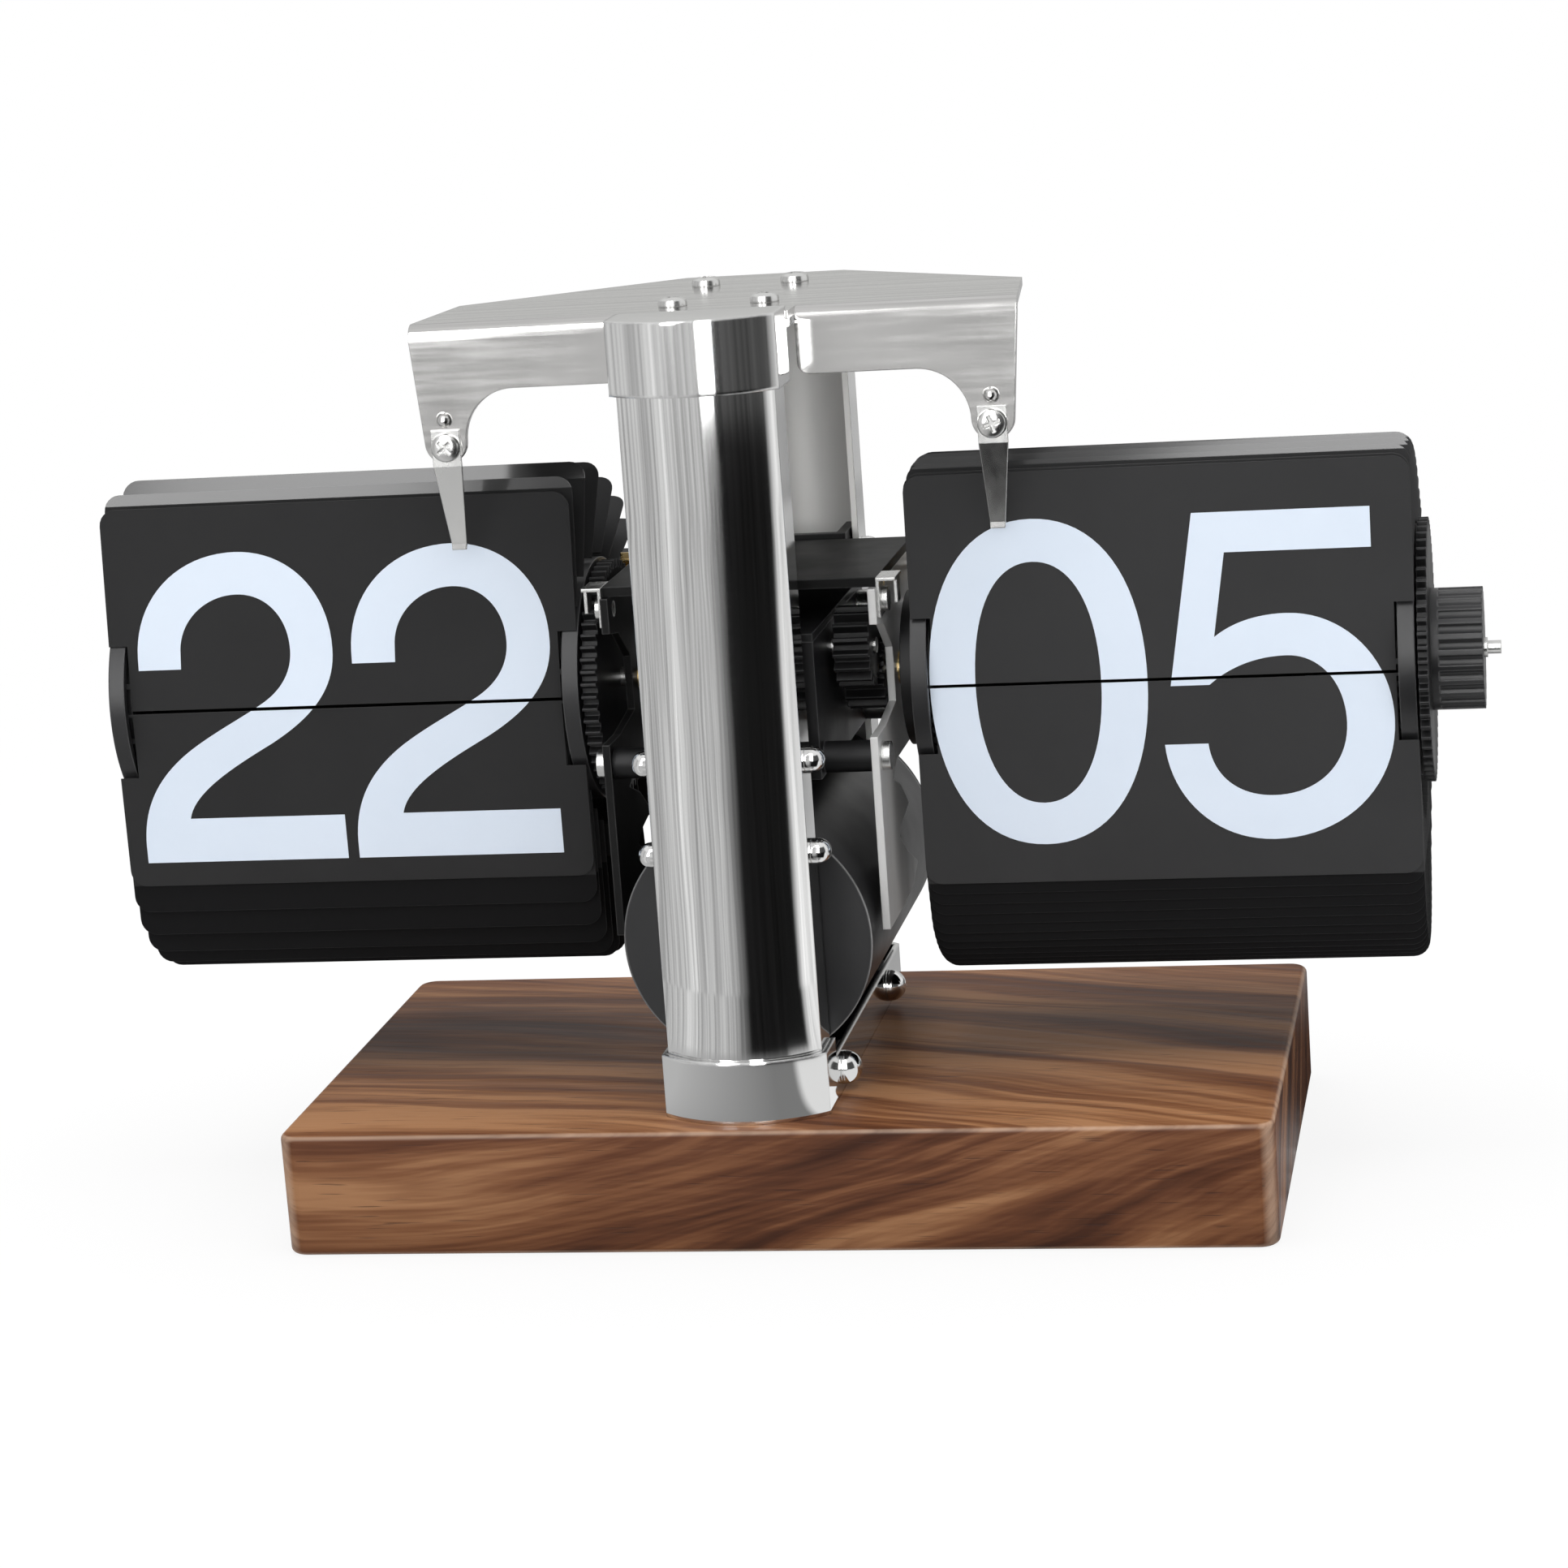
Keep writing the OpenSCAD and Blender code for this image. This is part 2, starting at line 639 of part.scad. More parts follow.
module bracket(rods, face, back) {
    color(black) on_tower() difference() {
        block(-bracket_hw, bracket_hw, -face, -back, rods[0] - bracket_over, rods[1] + bracket_over);
        block(-bracket_hw + bracket_t, bracket_hw - bracket_t, -face - 1, -back - bracket_t,
            rods[0] - bracket_over - 1, rods[1] + bracket_over + 1);
        for (z = rods) x_bar(-tower_hw, tower_hw, -rod_y, z, rod_r + fit);
        y_bar(0, tube_front - gap, tube_rear, tube_z, tube_r + gap);
    }
}
module front_bracket() {
    bracket(front_rods, rod_y + 3, -case_front);
}
module rear_bracket() {
    mirror([0, 1, 0]) bracket(rear_rods, rod_y + 3, case_rear);
}
module column_rods() {
    color(steel) on_tower() {
        for (z = front_rods) x_bar(-tower_hw - nut_h, tower_hw + nut_h, -rod_y, z, rod_r);
        for (z = rear_rods) x_bar(-tower_hw - nut_h, tower_hw + nut_h, rod_y, z, rod_r);
    }
}
module column_nuts() {
    color(chrome) on_tower() for (s = [0, 1]) mirror([s, 0, 0]) {
        for (z = front_rods) cap_nut(-rod_y, z);
        for (z = rear_rods) cap_nut(rod_y, z);
    }
}
module cap_nut(y, z) {
    difference() {
        translate([tower_hw, y, z]) rotate([0, 90, 0]) dome(nut_r, nut_rim);
        x_bar(tower_hw - 1, tower_hw + nut_h + fit, y, z, rod_r + fit);
    }
}
// A side plate: a band on top, a spine behind the gears and a wing with a wavy edge below.
// Points are places along Y and heights above the axis.
plate_chamfer = 5;
plate_wing = [[-6, -12.5], [-11, -14.5], [-4, -17], [2.8, -21.5], [-5, -22.8], [-7.6, -24.4],
    [-2, -28], [7.8, -32.1], [3, -34.6], [-8.3, -35.3], [-22, -35.3]];
plate_mouth = [[-22, -5.5], [-14, -5.5], [-3, -4], [-3, 4.5], [-10, 9.5], [-16, 10.5]];
module plate_plan() {
    up = plate_top - axis_z;
    difference() {
        translate([0, axis_z]) polygon(concat([[plate_band, up], [transfer_y + 4, up],
            [plate_rear, up - plate_chamfer], [plate_rear, plate_wing[0][1]]], plate_wing, plate_mouth));
        translate([axis_y, axis_z]) circle(r = bush_r + fit, $fn = 48);
        translate([transfer_y, transfer_z]) circle(r = arbor_r + fit, $fn = 48);
        for (p = plate_spots) translate([p[0], axis_z + p[1]]) circle(r = screw_r + fit, $fn = 48);
        translate([detent_y, plate_top - 2.2]) circle(r = screw_r + fit, $fn = 48);
    }
}
module side_plate(x0) {
    on_tower() translate([x0, 0, 0]) rotate([90, 0, 90]) linear_extrude(plate_t) plate_plan();
}
module left_plate() {
    color(black) side_plate(-plate_out);
}
module right_plate() {
    color([0.55, 0.56, 0.56]) side_plate(plate_in);
}
screw_bite = 3.6;
module plate_posts() {
    color(steel) on_tower() for (s = [0, 1], p = post_spots) mirror([s, 0, 0]) difference() {
        x_bar(case_hw, plate_in, p[0], axis_z + p[1], post_r);
        x_bar(plate_in - screw_bite - gap, plate_in + 1, p[0], axis_z + p[1], screw_r + fit);
    }
}
module plate_screws() {
    color(steel) on_tower() for (s = [0, 1], p = plate_spots) mirror([s, 0, 0]) {
        x_bar(plate_out, plate_out + screw_head_h, p[0], axis_z + p[1], screw_head_r);
        x_bar(plate_in - screw_bite, plate_out + 0.5, p[0], axis_z + p[1], screw_r);
    }
}
top_plate_t = 1.5;
module top_plate() {
    color(black) on_tower()
        block(-plate_out, plate_out, axis_y - pivot_r, transfer_y + 2, plate_top, plate_top + top_plate_t);
}
// Bent springs that click on the wheels, one on each side plate
detent_y = axis_y - 15;
detent_w = 6;
detent_t = 0.5;
detent_tip_w = 3;
detent_low = 2.6;
module detent(s) {
    reach = (wheel_in + wheel_out) / 2 - plate_out;
    front = detent_y - detent_w / 2;
    lip = plate_top + top_plate_t;
    on_tower() scale([s, 1, 1]) {
        difference() {
            block(plate_out, plate_out + detent_t, front, front + detent_w, plate_top - 4.6, lip);
            x_bar(plate_out - 1, plate_out + 2, detent_y, plate_top - 2.2, screw_r + fit);
        }
        block(plate_out, plate_out + reach, front, front + detent_w, lip - detent_t, lip);
        block(plate_out + reach - detent_t, plate_out + reach, detent_y - detent_tip_w / 2,
            detent_y + detent_tip_w / 2, plate_top - detent_low, lip);
    }
}
module minute_detent() {
    color(steel) detent(1);
}
module hour_detent() {
    color(steel) detent(-1);
}
module detent_screws() {
    color(steel) on_tower() for (s = [0, 1]) mirror([s, 0, 0]) {
        x_bar(plate_out + detent_t, plate_out + detent_t + 0.9, detent_y, plate_top - 2.2, 1.9);
        x_bar(plate_in, plate_out + 1, detent_y, plate_top - 2.2, screw_r);
    }
}
module shaft_bushes() {
    color(brass) on_tower() for (s = [0, 1]) mirror([s, 0, 0]) at_axis() difference() {
        x_bar(plate_in - 0.2, plate_out + 0.2, 0, 0, bush_r);
        x_bar(plate_in - 1, plate_out + 1, 0, 0, shaft_r + fit);
    }
    color(brass) on_tower() for (s = [0, 1]) mirror([s, 0, 0]) at_axis() difference() {
        x_bar(case_hw - case_wall - 0.4, case_hw + 0.2, 0, 0, bush_r);
        x_bar(case_hw - 4, case_hw + 1, 0, 0, shaft_r + fit);
    }
}

// Leaves
module hour_leaves() {
    color(leaf_black) on_tower()
        leaf_stack(-1, hour_count, hour_step, hour_leaf_h, hour_tail, hour_lean, hour_lay, hour_squat);
}
module minute_leaves() {
    color(leaf_black) on_tower()
        leaf_stack(1, minute_count, minute_step, minute_leaf_h, minute_tail, front_lean, minute_lay,
            minute_squat);
}
module hour_front_leaf() {
    color(leaf_black) on_tower() front_leaf(-1, hour_leaf_h, hour_tail);
}
module minute_front_leaf() {
    color(leaf_black) on_tower() front_leaf(1, minute_leaf_h, minute_tail);
}

// Minute drum, turned by the main shaft
nut_x = disc_out + disc_t + gap;
module main_shaft() {
    color(steel) on_tower() at_axis() {
        x_bar(-nut_x - 2.2, knob_in + knob_len + 0.5, 0, 0, shaft_r);
        x_bar(knob_in + knob_len, knob_in + knob_len + knob_tip, 0, 0, 1);
    }
}
module minute_core() {
    color(black) on_tower() drum_core(disc_in + disc_t, disc_out, shaft_r + fit);
}
module minute_inner_disc() {
    color(black) on_tower() end_disc(disc_in, disc_in + disc_t - groove_d, shaft_r + fit);
}
module minute_outer_disc() {
    color(black) on_tower() end_disc(disc_out, disc_out, shaft_r + fit);
}
module minute_wheel() {
    color(black) on_tower() at_axis() {
        gear(wheel_rim, wheel_module, wheel_start, knob_in, shaft_r + fit);
        difference() {
            x_bar(disc_out + disc_t, wheel_start, 0, 0, rim_hub_r);
            x_bar(disc_out, knob_in, 0, 0, shaft_r + fit);
        }
    }
}
knob_ribs = 24;
module setting_knob() {
    color(black) on_tower() at_axis() difference() {
        x_bar(knob_in, knob_in + knob_len, 0, 0, knob_dia / 2);
        x_bar(knob_in - 1, knob_in + knob_len + 1, 0, 0, shaft_r + fit);
        for (i = [0:knob_ribs - 1]) rotate([i * 360 / knob_ribs, 0, 0])
            x_bar(knob_in + 1.2, knob_in + knob_len + 1, knob_dia / 2 + 0.35, 0, 0.9, $fn = 24);
    }
}
module minute_pinion() {
    color(black) on_tower() at_axis()
        gear(pinion_teeth, drive_module, case_hw + 0.6, plate_in - 0.6, shaft_r + fit, drive_turn);
}
cam_r = 12;
cam_tip = transfer_dist - hour_module * transfer_teeth / 2 - 0.85 * hour_module - gap;
module advance_cam() {
    color(black) on_tower() at_axis() difference() {
        union() {
            x_bar(wheel_in, disc_in, 0, 0, cam_r);
            block(wheel_in, wheel_out, 0, cam_tip, -1, 1);
        }
        x_bar(0, disc_in + 1, 0, 0, shaft_r + fit);
    }
}

// Hour drum, running free on the main shaft
module hour_core() {
    color(black) on_tower() drum_core(-disc_out, -disc_in - disc_t, shaft_r + fit);
}
module hour_inner_disc() {
    color(black) on_tower() end_disc(-disc_in - disc_t, -disc_in - disc_t, shaft_r + fit);
}
module hour_outer_disc() {
    color(black) on_tower() end_disc(-disc_out - disc_t, -disc_out - groove_d, shaft_r + fit);
}
module hour_wheel() {
    color(black) on_tower() at_axis() {
        gear(hour_teeth, hour_module, -wheel_out, -wheel_in, shaft_r + fit, 180 + transfer_turn);
        difference() {
            x_bar(-disc_in, -wheel_in, 0, 0, 8);
            x_bar(-disc_in - 1, 0, 0, 0, shaft_r + fit);
        }
    }
}
module end_nut() {
    color(steel) on_tower() at_axis() difference() {
        x_bar(-nut_x - 1.8, -nut_x, 0, 0, 2.8, $fn = 6);
        x_bar(-nut_x - 3, -nut_x + 1, 0, 0, shaft_r + fit);
    }
}

// Drive and hour transfer
module drive_wheel() {
    color(black) on_tower() translate([0, drive_y, drive_z])
        gear(drive_teeth, drive_module, case_hw + 1, plate_in - 1, arbor_r + fit,
            drive_turn + 180 + 180 / drive_teeth);
}
module drive_arbor() {
    color(steel) on_tower() x_bar(2, plate_in - 0.6, drive_y, drive_z, arbor_r);
}
module transfer_arbor() {
    color(steel) on_tower() x_bar(-wheel_out, wheel_out, transfer_y, transfer_z, arbor_r);
}
module transfer_pinion() {
    color(brass) on_tower() translate([0, transfer_y, transfer_z])
        gear(transfer_teeth, hour_module, -wheel_out, -wheel_in, arbor_r + fit,
            transfer_turn + 180 + 180 / transfer_teeth);
}
module star_wheel() {
    color(brass) on_tower() translate([0, transfer_y, transfer_z])
        gear(transfer_teeth, hour_module, wheel_in, wheel_out, arbor_r + fit,
            transfer_turn + 180 + 180 / transfer_teeth);
}

wood_base();
base_screws();
tray_nuts();
bottom_tray();
front_column();
rear_column();
top_lid();
arm_bridge();
bridge_screws();
left_finger();
right_finger();
finger_screws();
front_cradle();
rear_cradle();
side_screws();
battery_tube();
battery_cell();
front_contact();
battery_cap();
cap_contact();
movement_case();
case_cover();
motor();
circuit_board();
front_bracket();
rear_bracket();
column_rods();
column_nuts();
left_plate();
right_plate();
plate_posts();
plate_screws();
top_plate();
minute_detent();
hour_detent();
detent_screws();
shaft_bushes();
hour_leaves();
minute_leaves();
hour_front_leaf();
minute_front_leaf();
main_shaft();
minute_core();
minute_inner_disc();
minute_outer_disc();
minute_wheel();
setting_knob();
minute_pinion();
advance_cam();
hour_core();
hour_inner_disc();
hour_outer_disc();
hour_wheel();
end_nut();
drive_wheel();
drive_arbor();
transfer_arbor();
transfer_pinion();
star_wheel();
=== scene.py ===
import json
import math

import bmesh
import bpy
from mathutils import Matrix, Vector


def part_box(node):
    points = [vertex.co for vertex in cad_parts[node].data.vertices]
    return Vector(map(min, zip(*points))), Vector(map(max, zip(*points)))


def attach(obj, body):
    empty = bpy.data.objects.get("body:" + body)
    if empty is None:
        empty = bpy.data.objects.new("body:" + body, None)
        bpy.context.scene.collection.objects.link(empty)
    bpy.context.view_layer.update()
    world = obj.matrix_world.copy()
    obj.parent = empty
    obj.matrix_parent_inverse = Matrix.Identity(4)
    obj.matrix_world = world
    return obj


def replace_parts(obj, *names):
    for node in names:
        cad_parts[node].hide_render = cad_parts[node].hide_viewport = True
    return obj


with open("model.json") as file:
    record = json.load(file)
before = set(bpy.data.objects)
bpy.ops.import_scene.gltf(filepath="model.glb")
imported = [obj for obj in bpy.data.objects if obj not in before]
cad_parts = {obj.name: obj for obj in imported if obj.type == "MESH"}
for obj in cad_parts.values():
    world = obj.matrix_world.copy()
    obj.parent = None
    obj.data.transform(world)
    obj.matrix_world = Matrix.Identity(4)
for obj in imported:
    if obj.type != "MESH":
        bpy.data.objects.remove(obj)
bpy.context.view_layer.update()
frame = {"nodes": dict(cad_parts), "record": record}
nodes = frame["nodes"]
scene = bpy.context.scene

MM = 0.001
TOWER_X = -3.7 * MM
AXIS_Y = 3 * MM
AXIS_Z = 79.1 * MM
PIVOT_R = 17 * MM
LEAF_T = 0.25 * MM
FULL_TURN = 2 * math.pi


# Camera at the photograph's viewing angle
VIEW_AZIMUTH = math.radians(11.041)
VIEW_HEIGHT = math.radians(12.804)
VIEW_ROLL = math.radians(-4.141)
VIEW_DISTANCE = 0.651339
VIEW_TARGET = Vector((-0.864, -3.677, 62.591)) * MM
VIEW_LENS = 96.33


def aim_camera():
    back = Vector((math.sin(VIEW_AZIMUTH) * math.cos(VIEW_HEIGHT),
                   -math.cos(VIEW_AZIMUTH) * math.cos(VIEW_HEIGHT), math.sin(VIEW_HEIGHT)))
    level = Vector((0, 0, 1)).cross(back).normalized()
    rise = back.cross(level)
    right = math.cos(VIEW_ROLL) * level + math.sin(VIEW_ROLL) * rise
    up = math.cos(VIEW_ROLL) * rise - math.sin(VIEW_ROLL) * level
    camera = bpy.data.objects.new("camera", bpy.data.cameras.new("camera"))
    scene.collection.objects.link(camera)
    camera.data.sensor_width = 36
    camera.data.lens = VIEW_LENS
    camera.data.clip_start = 0.01
    camera.data.clip_end = 50
    turn = Matrix((right, up, back)).transposed().to_4x4()
    camera.matrix_world = Matrix.Translation(VIEW_TARGET + back * VIEW_DISTANCE) @ turn
    scene.camera = camera


aim_camera()


# Finishes
class Wire:
    """An output socket of a finish. Arithmetic on wires adds Math nodes."""

    def __init__(self, tree, socket=None):
        self.tree = tree
        self.socket = socket

    def node(self, kind, settings=None, inputs=None, out=0):
        made = self.tree.nodes.new(kind)
        for name, value in (settings or {}).items():
            if name == "stops":
                ramp = made.color_ramp
                while len(ramp.elements) < len(value):
                    ramp.elements.new(1.0)
                for stop, (place, colour) in zip(ramp.elements, value):
                    stop.position = place
                    stop.color = (*colour, 1)
            else:
                setattr(made, name, value)
        for name, value in (inputs or {}).items():
            if isinstance(value, Wire):
                self.tree.links.new(value.socket, made.inputs[name])
            else:
                made.inputs[name].default_value = value
        return Wire(self.tree, made.outputs[out] if made.outputs else None)

    def math(self, operation, first, second=0.0):
        return self.node("ShaderNodeMath", {"operation": operation}, {0: first, 1: second})

    def __add__(self, other):
        return self.math("ADD", self, other)

    def __radd__(self, other):
        return self.math("ADD", other, self)

    def __sub__(self, other):
        return self.math("SUBTRACT", self, other)

    def __rsub__(self, other):
        return self.math("SUBTRACT", other, self)

    def __mul__(self, other):
        return self.math("MULTIPLY", self, other)

    def __rmul__(self, other):
        return self.math("MULTIPLY", other, self)

    def __pow__(self, other):
        return self.math("POWER", self, other)

    def places(self):
        return self.node("ShaderNodeTexCoord", out="Object")

    def stretched(self, x, y, z):
        return self.node("ShaderNodeVectorMath", {"operation": "MULTIPLY"}, {0: self, 1: (x, y, z)})

    def noise(self, scale, detail=3.0, rough=0.55, warp=0.0):
        return self.node("ShaderNodeTexNoise", {},
                         {"Vector": self, "Scale": scale, "Detail": detail, "Roughness": rough,
                          "Distortion": warp})

    def ramp(self, stops):
        return self.node("ShaderNodeValToRGB", {"stops": stops}, {"Fac": self})

    def span(self, low, high, to_low=0.0, to_high=1.0):
        return self.node("ShaderNodeMapRange", {}, {"Value": self, "From Min": low, "From Max": high,
                                                    "To Min": to_low, "To Max": to_high})

    def split(self):
        axes = self.node("ShaderNodeSeparateXYZ", {}, {0: self}).socket.node
        return [Wire(self.tree, axes.outputs[i]) for i in range(3)]

    def blend(self, first, second):
        return self.node("ShaderNodeMix", {"data_type": "RGBA"}, {0: self, 6: first, 7: second}, out=2)


def finish(name, **constants):
    """A new material with its constants on the shader, and a wire to draw the rest with."""
    material = bpy.data.materials.new(name)
    material.use_nodes = True
    shader = material.node_tree.nodes["Principled BSDF"]
    for socket, value in constants.items():
        shader.inputs[socket.replace("_", " ")].default_value = value
    return material, shader, Wire(material.node_tree)


def feed(shader, wire, socket):
    wire.tree.links.new(wire.socket, shader.inputs[socket])


def round_edge(start, radius):
    """Normals eased over the edges, and a mask that is 1 along them."""
    eased = start.node("ShaderNodeBevel", {"samples": 6}, {"Radius": radius})
    plain = start.node("ShaderNodeNewGeometry", out="Normal")
    facing = start.node("ShaderNodeVectorMath", {"operation": "DOT_PRODUCT"}, {0: eased, 1: plain}, out=1)
    return eased, facing.span(0.995, 0.9)


def raised(start, height, distance, strength, normal=None):
    inputs = {"Height": height, "Distance": distance, "Strength": strength}
    if normal:
        inputs["Normal"] = normal
    return start.node("ShaderNodeBump", {}, inputs)


# Painted sheen: how much paler the walnut's top faces are drawn.
TOP_PAINTED_SHEEN = 0.06
WALNUT_TONES = [(0.39, (0.0225, 0.0066, 0.003)), (0.465, (0.0575, 0.0185, 0.0074)),
                (0.525, (0.111, 0.0385, 0.0152)), (0.585, (0.192, 0.078, 0.032)), (0.66, (0.345, 0.17, 0.079))]
WALNUT_PORE = (0.03, 0.012, 0.008, 1)
# A painted highlight colour for the walnut's eased edges.
WALNUT_EDGE_HIGHLIGHT = (0.52, 0.37, 0.27, 1)


def make_walnut():
    """Oiled walnut: slanting layers, fine lines and pores, a top painted paler as sheen, and a painted highlight
    along the edges.
    """
    material, shader, start = finish("walnut_oiled", Coat_Weight=0.03, Coat_Roughness=0.28,
                                     Specular_IOR_Level=0.1)
    at = start.places()
    x, y, z = at.split()
    wander = at.stretched(7, 22, 30).noise(1.0, 2.0) - 0.5
    layer = y + 0.25 * x + 1.2 * x * x - 1.1 * z + 0.022 * wander
    across = start.node("ShaderNodeCombineXYZ", {}, {0: 5.5 * x, 1: 85 * layer, 2: 6 * z})
    bands = across.noise(1.0, 4.0, 0.6, 0.35)
    lines = start.node("ShaderNodeCombineXYZ", {}, {0: 9 * x, 1: 520 * layer, 2: 160 * z}).noise(1.0, 3.0)
    fibres = at.stretched(70, 1500, 1500).noise(1.0, 2.0)
    pores = at.stretched(110, 2600, 2600).noise(1.0, 1.0).span(0.66, 0.74)
    nx, ny, nz = start.node("ShaderNodeNewGeometry", out="Normal").split()
    # The paler top is painted sheen.
    tone = bands * 0.8 + lines * 0.2 + fibres * 0.06 + nz.span(0.4, 0.9) * TOP_PAINTED_SHEEN
    colour = (pores * 0.55).blend(tone.ramp(WALNUT_TONES), WALNUT_PORE)
    # The eased edges are painted paler as a highlight.
    slope = (nx * nx + ny * ny) * nz * nz + nx * nx * ny * ny
    wear_and_edge_highlight = slope.span(0.06, 0.24) * lines.span(0.3, 0.6, 0.25, 0.55)
    feed(shader, wear_and_edge_highlight.blend(colour, WALNUT_EDGE_HIGHLIGHT), "Base Color")
    feed(shader, lines.span(0.3, 0.7, 0.36, 0.52), "Roughness")
    feed(shader, raised(start, fibres - pores * 0.8, 0.00012, 0.35), "Normal")
    return material


INSIDE_GREY = (0.8, 0.79, 0.77, 1)


def times(colour, share):
    return (*[part * share for part in colour], 1)


def make_metal(name, colour, rough_low, rough_high, brushed=None, edge=0.00025, bare_inside=False,
               metallic=1.0, painted_reflection_streaks=0.0):
    """Bright metal with faint wipe marks. brushed gives the stretch of its fine lines, the streak argument the
    strength of long dark streaks on its flat top, which are painted reflections, and bare_inside leaves the hollow
    side dull."""
    material, shader, start = finish(name, Metallic=metallic)
    at = start.places()
    smear = at.stretched(30, 30, 12).noise(1.0, 4.0, 0.6, 0.6)
    eased, rim = round_edge(start, edge)
    tint = smear.blend(times(colour, 0.93), times(colour, 1.0))
    if painted_reflection_streaks:
        # Painted reflections: long dark streaks in the colour of the flat top.
        streaks = at.stretched(9, 620, 620).noise(1.0, 3.0, 0.6, 0.2)
        level = start.node("ShaderNodeNewGeometry", out="Normal").split()[2].span(0.3, 0.8)
        tint = (streaks.span(0.42, 0.62) * level * painted_reflection_streaks).blend(tint, times(colour, 0.35))
    height = smear * 0.2
    rough = smear.span(0.3, 0.7, rough_low, rough_high)
    if bare_inside:
        facing = start.node("ShaderNodeNewGeometry", out="Normal").split()[1] * at.split()[1]
        inside = facing.span(-0.0005, -0.002)
        tint = inside.blend(tint, INSIDE_GREY)
        rough = rough + inside * 0.4
        feed(shader, 1.0 - inside * 0.5, "Metallic")
    feed(shader, tint, "Base Color")
    if brushed:
        lines = at.stretched(*brushed).noise(1.0, 2.0)
        rough = rough + lines.span(0.3, 0.7, -0.03, 0.05)
        height = height + lines
    feed(shader, rough + rim * 0.04, "Roughness")
    feed(shader, raised(start, height, 0.00001, 0.25, eased), "Normal")
    return material


def make_moulding(name, colour, rough, grain, edge_wear_and_highlight_colour, shine=0.35, edge=0.0003):
    """Black moulding or paint: fine grain, dull smears, and paler edges from wear; on the cell holder the pale edges
    are a painted highlight.
    """
    material, shader, start = finish(name, Specular_IOR_Level=shine)
    at = start.places()
    smear = at.noise(45.0, 4.0, 0.6)
    speck = at.noise(2600.0, 2.0)
    eased, rim = round_edge(start, edge)
    wear_and_edge_highlight = rim * smear.span(0.35, 0.6, 0.25, 1.0)
    base = smear.blend(times(colour, 0.8), times(colour, 1.2))
    feed(shader, wear_and_edge_highlight.blend(base, (*edge_wear_and_highlight_colour, 1)), "Base Color")
    feed(shader, smear.span(0.3, 0.7, rough - 0.07, rough + 0.07), "Roughness")
    feed(shader, raised(start, speck, grain, 0.3, eased), "Normal")
    return material


# Each drum: top of the first standing leaf, the height below which the leaves are painted darker as shade, and the
# printed face's grey, set paler for the minutes as painted light
HOUR_TOP_Z = 111.12 * MM
HOUR_SHADED_BELOW_Z = 51.4 * MM
HOUR_SHADE = 0.031
MINUTE_TOP_Z = 111.74 * MM
MINUTE_SHADED_BELOW_Z = 48.6 * MM
# Painted light: the minute leaves' grey is set paler than the hour leaves', for the light that falls on them.
MINUTE_GREY_PAINTED_LIGHTER = 0.042
# Painted shade: the sheet colour for the leaves below the flap's foot.
PAINTED_SHADE_SHEET = (0.011, 0.011, 0.0115, 1)
# Painted highlight colour along the leaf edges.
SHEET_EDGE_HIGHLIGHT = (0.08, 0.08, 0.08, 1)


def make_leaf_sheet(name, glossy_from, painted_shade_below, shade):
    """Thin black sheet: dull grey where it is printed, painted darker below as shade, a painted highlight on its
    edges, and polished tops behind the first leaf.
    """
    material, shader, start = finish(name, Specular_IOR_Level=0.012, Coat_Roughness=0.12)
    at = start.places()
    smear = at.noise(45.0, 4.0, 0.6)
    speck = at.noise(2600.0, 2.0)
    eased, rim = round_edge(start, 0.00008)
    height = at.split()[2]
    printed = smear.blend((shade * 0.88, shade * 0.88, shade * 0.9, 1),
                          (shade * 1.12, shade * 1.12, shade * 1.14, 1))
    # Below the flap's foot the sheet is painted darker as shade.
    base = height.span(painted_shade_below, painted_shade_below - 0.2 * MM).blend(printed, PAINTED_SHADE_SHEET)
    # The leaf edges are painted paler as a highlight.
    feed(shader, (rim * 0.7).blend(base, SHEET_EDGE_HIGHLIGHT), "Base Color")
    feed(shader, smear.span(0.3, 0.7, 0.36, 0.5), "Roughness")
    feed(shader, height.span(glossy_from, glossy_from + 0.1 * MM), "Coat Weight")
    feed(shader, raised(start, speck, 0.000012, 0.2, eased), "Normal")
    return material


def make_ink():
    """White ink with a cool cast, a little cloudy."""
    material, shader, start = finish("digit_ink", Specular_IOR_Level=0.3)
    at = start.places()
    cloud = at.noise(60.0, 4.0, 0.6)
    speck = at.noise(1800.0, 2.0)
    base = cloud.blend((0.66, 0.745, 0.86, 1), (0.72, 0.8, 0.91, 1))
    feed(shader, base, "Base Color")
    feed(shader, cloud.span(0.3, 0.7, 0.4, 0.55), "Roughness")
    feed(shader, raised(start, speck, 0.00002, 0.25), "Normal")
    return material


def make_board_green():
    """Green lacquer over the copper tracks of the circuit board."""
    material, shader, start = finish("solder_mask", Roughness=0.4)
    at = start.places()
    tracks = at.stretched(1, 1, 0.1).noise(260.0, 1.0).span(0.48, 0.52)
    feed(shader, tracks.blend((0.02, 0.09, 0.04, 1), (0.05, 0.17, 0.08, 1)), "Base Color")
    feed(shader, raised(start, tracks, 0.00003, 0.4), "Normal")
    return material


CHROME = (0.74, 0.74, 0.735)
walnut = make_walnut()
chrome = make_metal("polished_chrome", CHROME, 0.04, 0.09)
chrome_rims = make_metal("chrome_rims", CHROME, 0.04, 0.09, edge=0.0007)
chrome_column = make_metal("chrome_column", CHROME, 0.04, 0.09, bare_inside=True)
